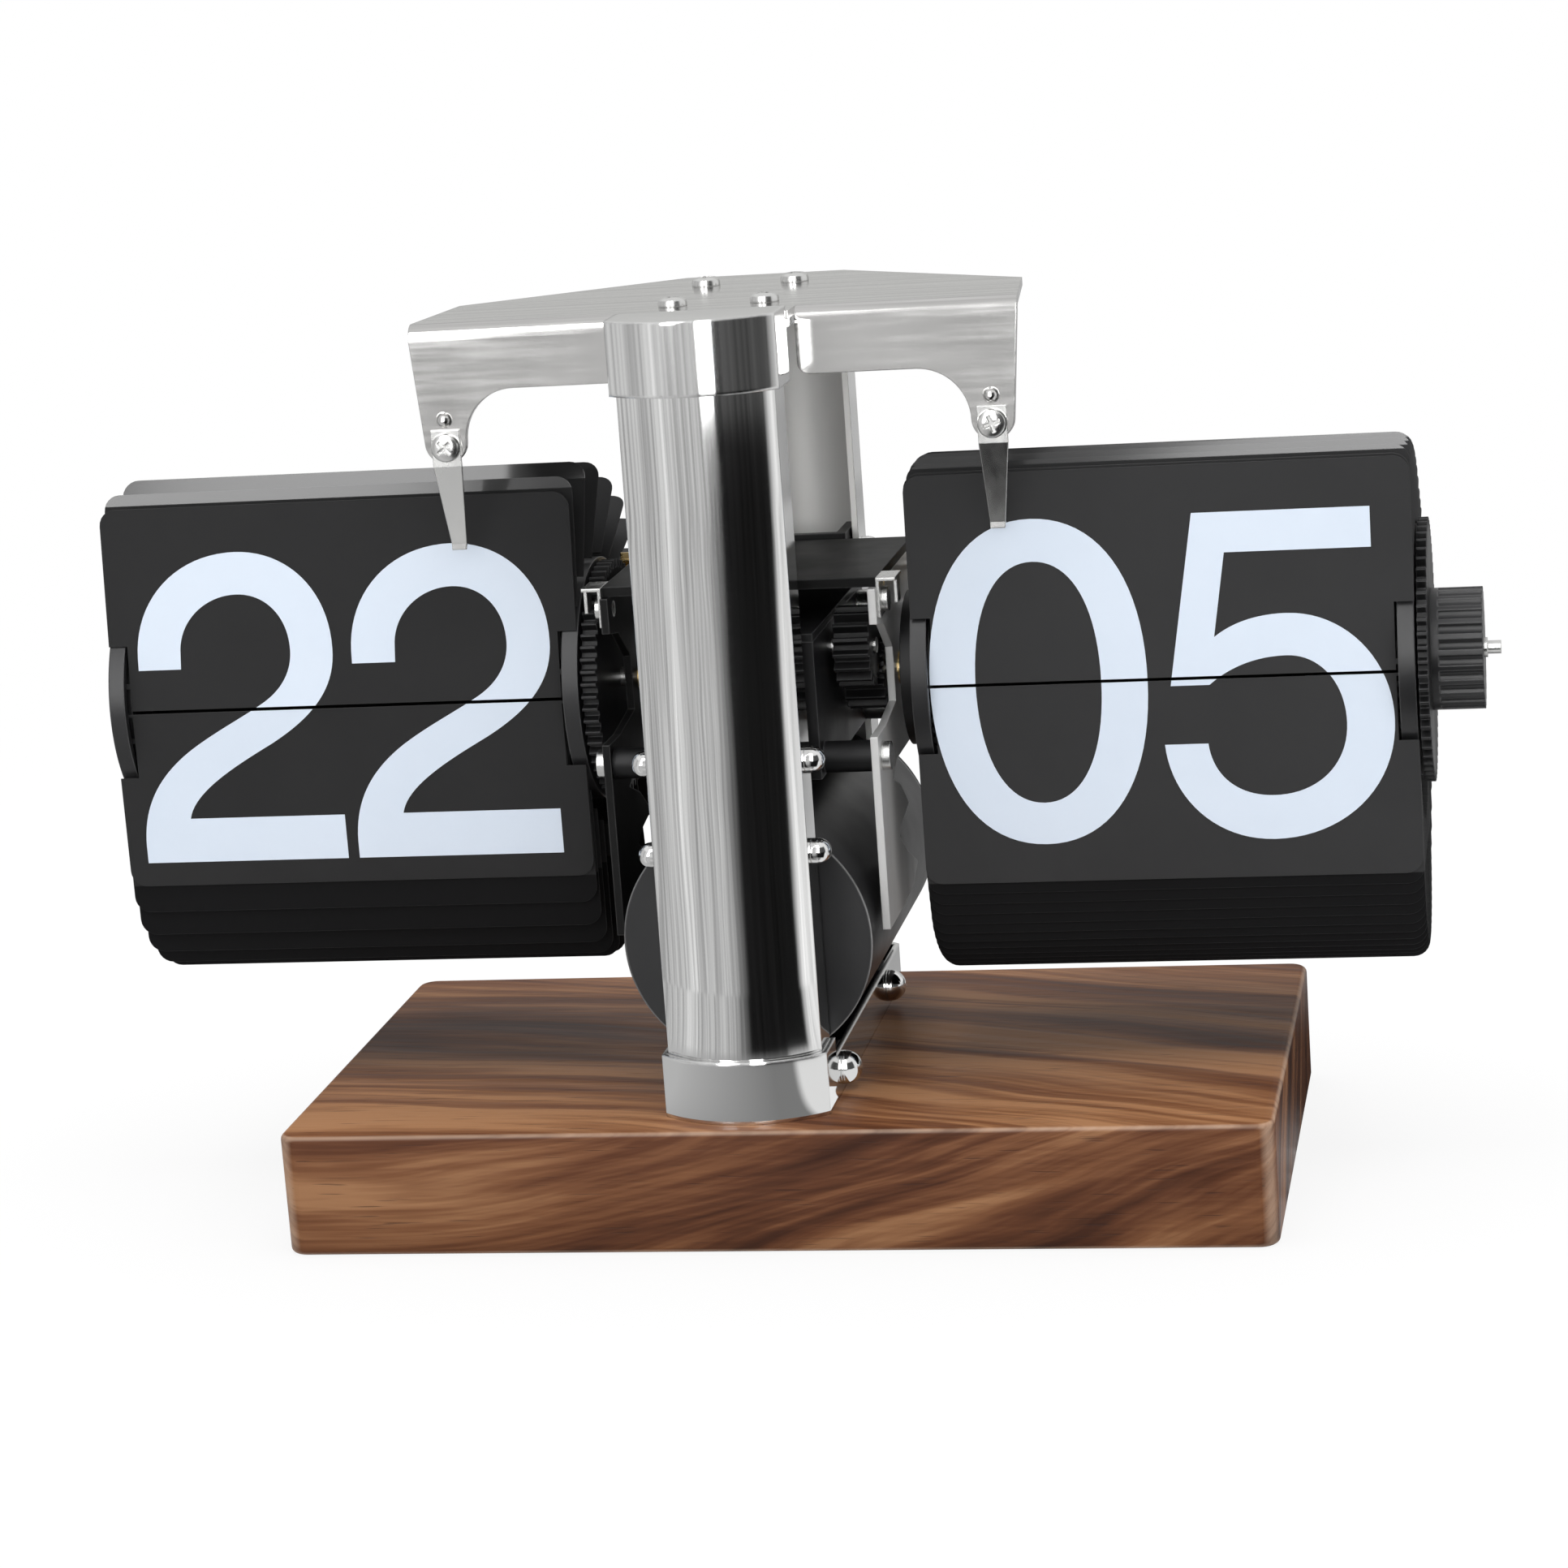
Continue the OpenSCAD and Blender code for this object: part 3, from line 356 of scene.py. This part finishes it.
# The dark streaks on the arms' top are painted reflections.
brushed_arm = make_metal("chrome_arms", (0.6, 0.595, 0.585), 0.09, 0.16, (60, 900, 900), painted_reflection_streaks=0.42)
bright_steel = make_metal("zinc_bright", (0.62, 0.62, 0.61), 0.18, 0.3, (420, 420, 60))
grey_sheet = make_metal("mill_sheet", (0.56, 0.56, 0.555), 0.32, 0.48, (300, 900, 90), metallic=0.35)
brass = make_metal("turned_brass", (0.68, 0.5, 0.23), 0.2, 0.34, (900, 120, 120))
cell_jacket = make_metal("cell_wrapper", (0.25, 0.25, 0.27), 0.3, 0.42)
black_plastic = make_moulding("black_moulding", (0.006, 0.006, 0.0065), 0.42, 0.00003, (0.06, 0.06, 0.062),
                              shine=0.22)
# The cell holder's pale edge colour is a painted highlight on its front rim.
tube_plastic = make_moulding("tube_moulding", (0.014, 0.014, 0.015), 0.4, 0.00003, (0.42, 0.42, 0.42),
                             edge=0.0005)
disc_plastic = make_moulding("disc_moulding", (0.014, 0.014, 0.015), 0.33, 0.00002, (0.09, 0.09, 0.092))
hour_sheet = make_leaf_sheet("hour_sheet", HOUR_TOP_Z, HOUR_SHADED_BELOW_Z, HOUR_SHADE)
minute_sheet_painted_lighter = make_leaf_sheet("minute_sheet_painted_lighter", MINUTE_TOP_Z, MINUTE_SHADED_BELOW_Z, MINUTE_GREY_PAINTED_LIGHTER)
black_paint = make_moulding("black_sheet", (0.006, 0.006, 0.006), 0.5, 0.00003, (0.1, 0.1, 0.1), shine=0.1)
solder_mask = make_board_green()
digit_ink = make_ink()

SLOT_FINISH = {"walnut": walnut, "chrome": chrome, "bright_steel": bright_steel, "brass": brass,
               "black_plastic": black_plastic, "disc_plastic": disc_plastic, "leaf_plastic": minute_sheet_painted_lighter,
               "black_metal": black_paint, "grey_metal": grey_sheet, "cell_jacket": cell_jacket,
               "circuit_green": solder_mask}
NODE_FINISH = {"arm_bridge": brushed_arm, "front_column": chrome_column, "rear_column": chrome_column,
               "top_lid": chrome_rims, "bottom_tray": chrome_rims, "battery_tube": tube_plastic,
               "setting_knob": disc_plastic, "hour_leaves": hour_sheet, "hour_front_leaf": hour_sheet}
for part in frame["record"]["subparts"]:
    node = nodes[part["node"]]
    node.data.materials.clear()
    node.data.materials.append(NODE_FINISH.get(part["node"], SLOT_FINISH[part["material_slot"]]))


# Making of pieces
SQUARE_ON = 0.9999
SHARP_FROM = math.radians(32)


def piece(name, mesh, material, body, smooth=True):
    made = bpy.data.meshes.new(name)
    mesh.to_mesh(made)
    mesh.free()
    made.materials.append(material)
    for face in made.polygons:
        face.use_smooth = smooth and max(abs(axis) for axis in face.normal) < SQUARE_ON
    if smooth:
        made.set_sharp_from_angle(angle=SHARP_FROM)
    thing = bpy.data.objects.new(name, made)
    scene.collection.objects.link(thing)
    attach(thing, body)
    return thing


def box_mesh(low, high):
    mesh = bmesh.new()
    bmesh.ops.create_cube(mesh, size=1.0)
    low, high = Vector(low), Vector(high)
    bmesh.ops.scale(mesh, vec=high - low, verts=mesh.verts)
    bmesh.ops.translate(mesh, vec=(low + high) / 2, verts=mesh.verts)
    return mesh


def ease(mesh, edges, width, steps):
    bmesh.ops.bevel(mesh, geom=edges, offset=width, offset_type="OFFSET", segments=steps, profile=0.5,
                    affect="EDGES", material=-1, clamp_overlap=True)


def turned(profile, steps):
    """A round solid standing on z = 0, from a profile of (radius, height) that starts and ends on the axis."""
    mesh = bmesh.new()
    spots = [mesh.verts.new((r, 0, h)) for r, h in profile]
    edges = [mesh.edges.new(pair) for pair in zip(spots, spots[1:])]
    bmesh.ops.spin(mesh, geom=spots + edges, cent=(0, 0, 0), axis=(0, 0, 1), angle=FULL_TURN, steps=steps,
                   use_merge=True)
    bmesh.ops.remove_doubles(mesh, verts=mesh.verts, dist=1e-7)
    bmesh.ops.recalc_face_normals(mesh, faces=mesh.faces)
    return mesh


def put(mesh, matrix):
    bmesh.ops.transform(mesh, matrix=matrix, verts=mesh.verts)
    return mesh


def joined(meshes):
    whole = bmesh.new()
    for mesh in meshes:
        kept = bpy.data.meshes.new("kept")
        mesh.to_mesh(kept)
        mesh.free()
        whole.from_mesh(kept)
        bpy.data.meshes.remove(kept)
    return whole


def cut(mesh, cutters):
    """The solid less each of the cutters."""
    holders = []
    for number, solid in enumerate([mesh, *cutters]):
        shape = bpy.data.meshes.new("cut_shape")
        solid.to_mesh(shape)
        solid.free()
        holder = bpy.data.objects.new(f"cut_{number}", shape)
        scene.collection.objects.link(holder)
        holders.append(holder)
    for cutter in holders[1:]:
        step = holders[0].modifiers.new("cut", "BOOLEAN")
        step.operation = "DIFFERENCE"
        step.solver = "EXACT"
        step.object = cutter
    ready = holders[0].evaluated_get(bpy.context.evaluated_depsgraph_get())
    left = bmesh.new()
    left.from_mesh(ready.to_mesh())
    ready.to_mesh_clear()
    for holder in holders:
        shape = holder.data
        bpy.data.objects.remove(holder)
        bpy.data.meshes.remove(shape)
    return left


# The walnut block, its edges eased by hand and its two screw holes bored from below
BOARD_CORNER = 3 * MM
BOARD_EASE = 0.9 * MM
BORE_R = 4.5 * MM
BORE_DEPTH = 4 * MM
SHANK_R = 2.3 * MM
BORE_Y = 13 * MM
BORE_BELOW = -MM
SHANK_FROM = MM
SHANK_TO = 30 * MM


def make_board():
    low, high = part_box("wood_base")
    mesh = box_mesh(low, high)
    upright = [e for e in mesh.edges if abs((e.verts[0].co - e.verts[1].co).z) > BOARD_EASE]
    ease(mesh, upright, BOARD_CORNER, 8)
    rims = [e for e in mesh.edges if e.calc_face_angle(0) > 1 and
            abs((e.verts[0].co - e.verts[1].co).z) < BOARD_EASE]
    ease(mesh, rims, BOARD_EASE, 4)
    bores = []
    for side in (-1, 1):
        spot = Matrix.Translation((TOWER_X, side * BORE_Y, 0))
        for r, low_z, high_z, steps in ((BORE_R, BORE_BELOW, BORE_DEPTH, 40), (SHANK_R, SHANK_FROM, SHANK_TO, 32)):
            bores.append(put(turned([(0, low_z), (r, low_z), (r, high_z), (0, high_z)], steps), spot))
    board = piece("walnut_block", cut(mesh, bores), walnut, "frame")
    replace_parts(board, "wood_base")


make_board()


# Screws with cross recesses
HEAD_R = 2.2 * MM
HEAD_H = 1.4 * MM
RECESS_L = 2.5 * MM
RECESS_W = 0.55 * MM
RECESS_D = 0.8 * MM


def cross_screw():
    head = turned([(0, 0), (HEAD_R, 0), (HEAD_R, 0.35 * HEAD_H), (0.93 * HEAD_R, 0.68 * HEAD_H),
                   (0.72 * HEAD_R, 0.92 * HEAD_H), (0.4 * HEAD_R, HEAD_H), (0, HEAD_H)], 40)
    slots = []
    for long, wide in ((RECESS_L / 2, RECESS_W / 2), (RECESS_W / 2, RECESS_L / 2)):
        slots.append(box_mesh((-long, -wide, HEAD_H - RECESS_D), (long, wide, 2 * HEAD_H)))
    return cut(head, slots)


def make_screws(name, node, spots):
    heads = [put(cross_screw(), spot) for spot in spots]
    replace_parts(piece(name, joined(heads), bright_steel, "frame"), node)


FINGER_X = 41.3 * MM
FINGER_SCREW_Z = 120.2 * MM
FINGER_FACE_Y = -22.4 * MM
BRIDGE_SCREW = (7 * MM, 13 * MM)
BRIDGE_TOP = 138.6 * MM
STAND_UP = Matrix.Rotation(math.radians(90), 4, "X")
make_screws("finger_screw_heads", "finger_screws", [
    Matrix.Translation((TOWER_X + s * FINGER_X, FINGER_FACE_Y, FINGER_SCREW_Z)) @ STAND_UP
    @ Matrix.Rotation(math.radians(30 - 12 * s), 4, "Z") for s in (-1, 1)])
make_screws("bridge_screw_heads", "bridge_screws", [
    Matrix.Translation((TOWER_X + i * BRIDGE_SCREW[0], j * BRIDGE_SCREW[1], BRIDGE_TOP))
    @ Matrix.Rotation(math.radians(20 + 33 * i + 11 * j), 4, "Z") for i in (-1, 1) for j in (-1, 1)])


# Digits: each outline is a list of (point, handle before, handle after) in mm, from the split line
def outline(*points):
    full = []
    for point in points:
        here, before, after = (point + (None, None))[:3] if isinstance(point[0], tuple) else (point, None, None)
        full.append((here, before or here, after or here))
    return full


ZERO_EASE = 0.62


def oval(half_w, half_h):
    w, h = half_w * ZERO_EASE, half_h * ZERO_EASE
    return outline(((half_w, 0), (half_w, -h), (half_w, h)), ((0, half_h), (w, half_h), (-w, half_h)),
                   ((-half_w, 0), (-half_w, h), (-half_w, -h)), ((0, -half_h), (-w, -half_h), (w, -half_h)))


GLYPHS = {
    "2": [outline(
        (1.5, 6.6), ((1.5, 8.5), None, (1.6, 17.9)), ((18.4, 24.6), (8.9, 24.6), (26.9, 24.6)),
        ((33.1, 9.0), (33.15, 18.2), (33.15, 2.2)), ((22.2, -5.5), (28.4, -1.9), (15.9, -8.9)),
        ((7.7, -17.2), (8.6, -12.9)), (32.8, -17.2), (32.8, -24.2), (0.0, -24.2),
        ((0.0, -21.5), None, (0.1, -14.2)), ((8.9, -6.2), (4.0, -9.6), (12.9, -3.5)),
        ((21.1, 0.8), (17.6, -1.3), (24.4, 2.8)), ((26.3, 9.1), (26.3, 5.6), (26.3, 14.3)),
        ((18.2, 18.0), (22.9, 18.0), (12.9, 18.0)), ((8.5, 9.0), (8.5, 14.0)), (8.4, 6.6))],
    "0": [oval(16.45, 24.9), oval(9.5, 18.45)],
    "5": [outline(
        (5.5, 24.8), (31.7, 24.8), (31.7, 18.75), (10.1, 18.75), ((8.1, 6.1), None, (11.2, 8.5)),
        ((18.9, 9.35), (15.2, 9.35), (27.4, 9.35)), ((34.25, -7.3), (34.25, 2.0), (34.25, -17.6)),
        ((15.8, -25.0), (26.2, -25.0), (7.0, -25.0)), ((0.0, -10.05), (0.6, -18.4)),
        ((6.5, -10.05), None, (7.0, -15.2)), ((16.0, -18.25), (10.7, -18.25), (22.6, -18.25)),
        ((27.2, -7.5), (27.2, -13.8), (27.2, -1.4)), ((18.7, 3.0), (23.6, 3.0), (14.0, 3.0)),
        ((7.1, -1.1), (10.0, 1.4)), (1.3, -1.1))],
    "1": [outline(
        (17.2, 24.4), ((12.2, 24.4), None, (10.9, 18.9)), ((0.8, 16.9), (6.6, 16.9)), (0.8, 11.7),
        (10.2, 11.7), (10.2, -24.2), (17.2, -24.2))],
    "4": [outline(
        (28.4, 24.4), (28.4, -7.4), (34.2, -7.4), (34.2, -13.6), (28.4, -13.6), (28.4, -24.2), (21.6, -24.2),
        (21.6, -13.6), (0.0, -13.6), (0.0, -7.2), (21.4, 24.4)),
        outline((21.6, -7.4), (21.6, 14.2), (7.0, -7.4))],
}
INK_T = 0.03 * MM
SPLIT = 0.25
CURVE_STEPS = 20


def glyph_mesh(digit, across):
    """A digit's flat face in mm, moved across the leaf."""
    curve = bpy.data.curves.new("digit", "CURVE")
    curve.dimensions = "2D"
    curve.fill_mode = "BOTH"
    curve.resolution_u = CURVE_STEPS
    for loop in GLYPHS[digit]:
        spline = curve.splines.new("BEZIER")
        spline.use_cyclic_u = True
        spline.bezier_points.add(len(loop) - 1)
        for spot, (here, before, after) in zip(spline.bezier_points, loop):
            spot.handle_left_type = spot.handle_right_type = "FREE"
            spot.co = (here[0] + across, here[1], 0)
            spot.handle_left = (before[0] + across, before[1], 0)
            spot.handle_right = (after[0] + across, after[1], 0)
    holder = bpy.data.objects.new("digit", curve)
    scene.collection.objects.link(holder)
    ready = holder.evaluated_get(bpy.context.evaluated_depsgraph_get())
    mesh = bmesh.new()
    mesh.from_mesh(ready.to_mesh())
    ready.to_mesh_clear()
    bpy.data.objects.remove(holder)
    bpy.data.curves.remove(curve)
    bmesh.ops.remove_doubles(mesh, verts=mesh.verts, dist=1e-4)
    return mesh


def half_digits(number, upper, inset):
    """The upper or lower halves of a number, as ink on the plane z = 0 that faces +Z."""
    mesh = joined([glyph_mesh(digit, across) for digit, across in number])
    side = 1 if upper else -1
    everything = mesh.verts[:] + mesh.edges[:] + mesh.faces[:]
    bmesh.ops.bisect_plane(mesh, geom=everything, plane_co=(0, side * inset, 0), plane_no=(0, side, 0),
                           clear_inner=True)
    bmesh.ops.scale(mesh, vec=(MM, MM, MM), verts=mesh.verts)
    for face in mesh.faces:
        if face.normal.z < 0:
            face.normal_flip()
    bmesh.ops.solidify(mesh, geom=mesh.faces[:], thickness=-INK_T)
    bmesh.ops.recalc_face_normals(mesh, faces=mesh.faces)
    return mesh


# The digits of each number with their places along the leaf, in mm from the tower's middle
HOURS = [("2", -97.9), ("2", -63.3)]
MINUTES = [("0", 44.75), ("5", 63.3)]
HOURS_BEFORE = [("2", -97.9), ("1", -55.5)]
MINUTES_BEFORE = [("0", 44.75), ("4", 63.0)]
UPPER_EDGE_Z = 79.6 * MM
INK_SINK = 0.005 * MM


def leaf_face(edge_y, lean):
    """Places the plane of a digit on the front of a standing leaf, whose lower edge is at edge_y."""
    foot = Matrix.Translation((TOWER_X, edge_y, UPPER_EDGE_Z))
    tip_back = Matrix.Rotation(-math.radians(lean), 4, "X")
    out = Matrix.Translation((0, -SPLIT * MM, LEAF_T / 2 - INK_SINK))
    return foot @ tip_back @ STAND_UP @ out


HOUR_LEAN = 5.0
HOUR_EDGE_Y = -13.761 * MM
MINUTE_LEAN = 2.0
MINUTE_EDGE_Y = -13.955 * MM
NEXT_FACE_Y = -13.375 * MM
NEXT_INSET = 0.9
flap_face = Matrix.Translation((TOWER_X, AXIS_Y - PIVOT_R + INK_SINK, AXIS_Z + SPLIT * MM)) @ STAND_UP
flap_back = Matrix.Translation((TOWER_X, AXIS_Y - PIVOT_R + LEAF_T - INK_SINK, AXIS_Z + SPLIT * MM)) \
    @ Matrix.Rotation(math.radians(-90), 4, "X")
next_face = Matrix.Translation((TOWER_X, NEXT_FACE_Y + INK_SINK, AXIS_Z + SPLIT * MM)) @ STAND_UP
for name, number, upper, inset, place, body in (
        ("hour_digits_upper", HOURS, True, SPLIT, leaf_face(HOUR_EDGE_Y, HOUR_LEAN), "frame"),
        ("hour_digits_lower", HOURS, False, SPLIT, flap_face, "hour_leaf"),
        ("hour_digits_back", HOURS_BEFORE, True, SPLIT, flap_back, "hour_leaf"),
        ("hour_digits_next", HOURS_BEFORE, False, NEXT_INSET, next_face, "frame"),
        ("minute_digits_upper", MINUTES, True, SPLIT, leaf_face(MINUTE_EDGE_Y, MINUTE_LEAN), "frame"),
        ("minute_digits_lower", MINUTES, False, SPLIT, flap_face, "minute_leaf"),
        ("minute_digits_back", MINUTES_BEFORE, True, SPLIT, flap_back, "minute_leaf"),
        ("minute_digits_next", MINUTES_BEFORE, False, NEXT_INSET, next_face, "frame")):
    piece(name, put(half_digits(number, upper, inset), place), digit_ink, body, smooth=False)


# Stage: floor, soft lamps, and cards that only the bright metal sees
def seen_by_eye_or_metal(wire):
    path = wire.node("ShaderNodeLightPath").socket.node
    camera, glossy, through = (Wire(wire.tree, path.outputs[name]) for name in
                               ("Is Camera Ray", "Is Glossy Ray", "Is Transmission Ray"))
    return wire.math("MINIMUM", camera + glossy + through, 1.0)


FLOOR_NEAR = 0.88
FLOOR_FAR = 1.0
FLOOR_MATT = (0.72, 0.72, 0.72, 1)
FLOOR_HALF = 6.0
WHITE = (1, 1, 1, 1)
AMBIENT = (0.385, 0.385, 0.385, 1)
ONLY_METAL_SEES = ("visible_camera", "visible_diffuse", "visible_shadow")


def staged(name, mesh):
    """A piece of the stage, and the wire of its empty finish."""
    made = bpy.data.meshes.new(name)
    mesh.to_mesh(made)
    mesh.free()
    thing = bpy.data.objects.new(name, made)
    scene.collection.objects.link(thing)
    material = bpy.data.materials.new(name)
    material.use_nodes = True
    material.node_tree.nodes.clear()
    made.materials.append(material)
    return thing, Wire(material.node_tree)


def make_floor():
    mesh = bmesh.new()
    bmesh.ops.create_grid(mesh, x_segments=2, y_segments=2, size=FLOOR_HALF)
    floor, wire = staged("floor", mesh)
    away = wire.node("ShaderNodeVectorMath", {"operation": "LENGTH"}, {0: wire.places()}, out=1)
    white = wire.node("ShaderNodeEmission", {}, {"Color": WHITE, "Strength": 1.0})
    matt = wire.node("ShaderNodeBsdfDiffuse", {}, {"Color": FLOOR_MATT})
    share = seen_by_eye_or_metal(wire) * away.span(0.16, 0.5, FLOOR_NEAR, FLOOR_FAR)
    both = wire.node("ShaderNodeMixShader", {}, {0: share, 1: matt, 2: white})
    wire.node("ShaderNodeOutputMaterial", {}, {"Surface": both})


def make_world():
    world = bpy.data.worlds.new("studio")
    world.use_nodes = True
    world.node_tree.nodes.clear()
    wire = Wire(world.node_tree)
    light = wire.node("ShaderNodeBackground", {}, {"Color": seen_by_eye_or_metal(wire).blend(AMBIENT, WHITE)})
    wire.node("ShaderNodeOutputWorld", {}, {"Surface": light})
    scene.world = world


LAMP_AIM = Vector((0, 0, 0.09))


def make_lamp(name, place, width, height, watts):
    light = bpy.data.lights.new(name, "AREA")
    light.shape = "RECTANGLE"
    light.size = width
    light.size_y = height
    light.energy = watts
    lamp = bpy.data.objects.new(name, light)
    lamp.visible_glossy = False
    scene.collection.objects.link(lamp)
    place = Vector(place)
    lamp.location = place
    lamp.rotation_euler = (LAMP_AIM - place).to_track_quat("-Z", "Y").to_euler()


def for_metal_only(card, wire, tone, strength):
    """Lets a card glow in its tone, times its strength, where bright metal mirrors it."""
    for sight in ONLY_METAL_SEES:
        setattr(card, sight, False)
    lit = wire.node("ShaderNodeMix", {"data_type": "RGBA", "blend_type": "MULTIPLY"},
                    {0: 1.0, 6: tone, 7: strength}, out=2)
    return wire.node("ShaderNodeEmission", {}, {"Color": lit, "Strength": 1.0})


# The room that the round chrome mirrors is made up: greys by azimuth round the column in degrees, from the
# left to the right. In front are a pale wall with a window, a dark doorway, and a white wall at the right.
# A profile gives the cards' (radius, height): a ring over the board, the floor, and an upright wall.
BRIGHT = 0.95
PALE = 0.6
SHADE = 0.25
DARK = 0.01
SURROUND_CENTRE = Vector((TOWER_X, -0.0235, 0))
FRONT_ARC = (-125, 90)
FRONT_PROFILE = [(0.0137, 0.0196), (0.085, 0.0196), (0.085, 0.0006), (0.75, 0.0006), (0.75, 0.7)]
FRONT_TONES = [(-60, PALE), (-50, BRIGHT), (-40, PALE), (-10, PALE), (10, DARK), (60, DARK), (65, BRIGHT)]
NEAR_EDGE = (0.045, 0.052)
NEAR_TONES = [(-60, PALE), (20, SHADE), (35, SHADE), (40, BRIGHT)]
REAR_ARC = (-90, 55)
REAR_PROFILE = [(0.03, 0.0006), (0.75, 0.0006), (0.75, 0.12)]
REAR_TONES = [(-90, 0.6), (-70, 0.75), (-62, 0.3), (-55, 0.05), (-40, 0.04), (-34, 0.35), (-28, 0.95),
              (-22, 0.5), (-5, 0.42), (8, 0.65), (14, 0.15), (20, 0.04), (34, 0.05), (40, 0.4), (46, 0.9), (54, 0.6)]
STREAKS = 30.0
SWEEP = math.radians(16)
SWEEP_FROM = 0.38
WAVE = 0.09
WALL_FOOT = (0.7, 0.74)
LID_LIFT = 0.08
LID_BAND = (0.022, 0.026)


def make_surround(name, side, arc, profile, tones):
    """Cards on the floor and upright, on the front side (1) or the rear side (-1) of the clock."""
    start, end = arc
    mesh = bmesh.new()
    first = Matrix.Rotation(math.radians(start), 3, "Z")
    spots = [mesh.verts.new(SURROUND_CENTRE + first @ Vector((0, -side * r, z))) for r, z in profile]
    edges = [mesh.edges.new(pair) for pair in zip(spots, spots[1:])]
    bmesh.ops.spin(mesh, geom=spots + edges, cent=SURROUND_CENTRE, axis=(0, 0, 1),
                   angle=math.radians(end - start), steps=80)
    mesh.normal_update()
    for face in mesh.faces:
        if face.normal.z < -0.5:
            face.normal_flip()
    surround, wire = staged(name, mesh)
    x, y, z = wire.places().split()
    x = (x - SURROUND_CENTRE.x) * side
    y = (SURROUND_CENTRE.y - y) * side
    azimuth = wire.math("ARCTAN2", x, y)
    far = (x * x + y * y) ** 0.5
    wave = wire.node("ShaderNodeCombineXYZ", {}, {0: azimuth * 2.5, 1: far * 6.0}).noise(1.0, 1.0) - 0.5
    slant = azimuth + SWEEP * (SWEEP_FROM - far) + WAVE * wave * far.span(*WALL_FOOT, 1.0, 0.0)
    lines = wire.node("ShaderNodeCombineXYZ", {}, {0: slant * STREAKS, 1: far * 2.0}).noise(1.0, 4.0, 0.65)

    def shades(angle, levels):
        share = angle.span(math.radians(start), math.radians(end))
        return share.ramp([((place - start) / (end - start), (level, level, level)) for place, level in levels])

    away = far.span(*NEAR_EDGE)
    tone = away.blend(shades(azimuth, NEAR_TONES), shades(slant, tones))
    tone = z.span(*LID_BAND, 0.0, LID_LIFT).blend(tone, WHITE)
    glow = for_metal_only(surround, wire, tone, lines.span(0.3, 0.7, -0.6, 0.6) * away + 1.0)
    clear = wire.node("ShaderNodeBsdfTransparent")
    below = wire.node("ShaderNodeNewGeometry", out="Backfacing") * z.span(0.03, 0.029)
    card = wire.node("ShaderNodeMixShader", {}, {0: below, 1: glow, 2: clear})
    wire.node("ShaderNodeOutputMaterial", {}, {"Surface": card})


BACKDROP_HALF = 0.9
BACKDROP_Y = 0.8
BACKDROP_LOW = 0.1
BACKDROP_HIGH = 0.75
BACKDROP_TONES = [(0.0, (0.35, 0.35, 0.35)), (0.15, (0.58, 0.58, 0.57)), (0.25, (0.7, 0.7, 0.69)),
                  (1.0, (0.85, 0.85, 0.85))]
CARD_T = 0.01


def make_backdrop():
    """A grey card behind the clock, which the flat tops mirror."""
    backdrop, wire = staged("backdrop", box_mesh((-BACKDROP_HALF, BACKDROP_Y, BACKDROP_LOW),
                                                 (BACKDROP_HALF, BACKDROP_Y + CARD_T, BACKDROP_HIGH)))
    x, _, z = wire.places().split()
    tone = z.span(BACKDROP_LOW, BACKDROP_HIGH).ramp(BACKDROP_TONES)
    lines = wire.node("ShaderNodeCombineXYZ", {}, {0: x * 3.0, 1: z * 350.0}).noise(1.0, 3.0)
    glow = for_metal_only(backdrop, wire, tone, lines.span(0.3, 0.7, 0.6, 1.3))
    wire.node("ShaderNodeOutputMaterial", {}, {"Surface": glow})


# Cards in front, which the tops of the leaves mirror: low and high x, and the lower edge
GLARE_CARDS = {"left_card": (-0.4, -0.226, 0.088), "right_card": (-0.0025, 0.15, 0.045)}
GLARE_Y = -0.66
GLARE_TOP = 1.3
GLARE = 8.0


def make_glare_cards():
    for name, (low_x, high_x, low_z) in GLARE_CARDS.items():
        card, wire = staged(name, box_mesh((low_x, GLARE_Y - CARD_T, low_z), (high_x, GLARE_Y, GLARE_TOP)))
        glow = for_metal_only(card, wire, WHITE, (GLARE, GLARE, GLARE, 1))
        wire.node("ShaderNodeOutputMaterial", {}, {"Surface": glow})


make_floor()
make_world()
make_surround("surround", 1, FRONT_ARC, FRONT_PROFILE, FRONT_TONES)
make_surround("rear_surround", -1, REAR_ARC, REAR_PROFILE, REAR_TONES)
make_backdrop()
make_glare_cards()
make_lamp("key", (0.12, -0.85, 0.45), 1.0, 0.6, 1.95)
make_lamp("fill", (0.8, -0.6, 0.6), 0.8, 0.8, 1.3)
make_lamp("top", (0.0, 0.1, 1.1), 1.1, 1.1, 18.5)

scene.view_settings.view_transform = "Standard"
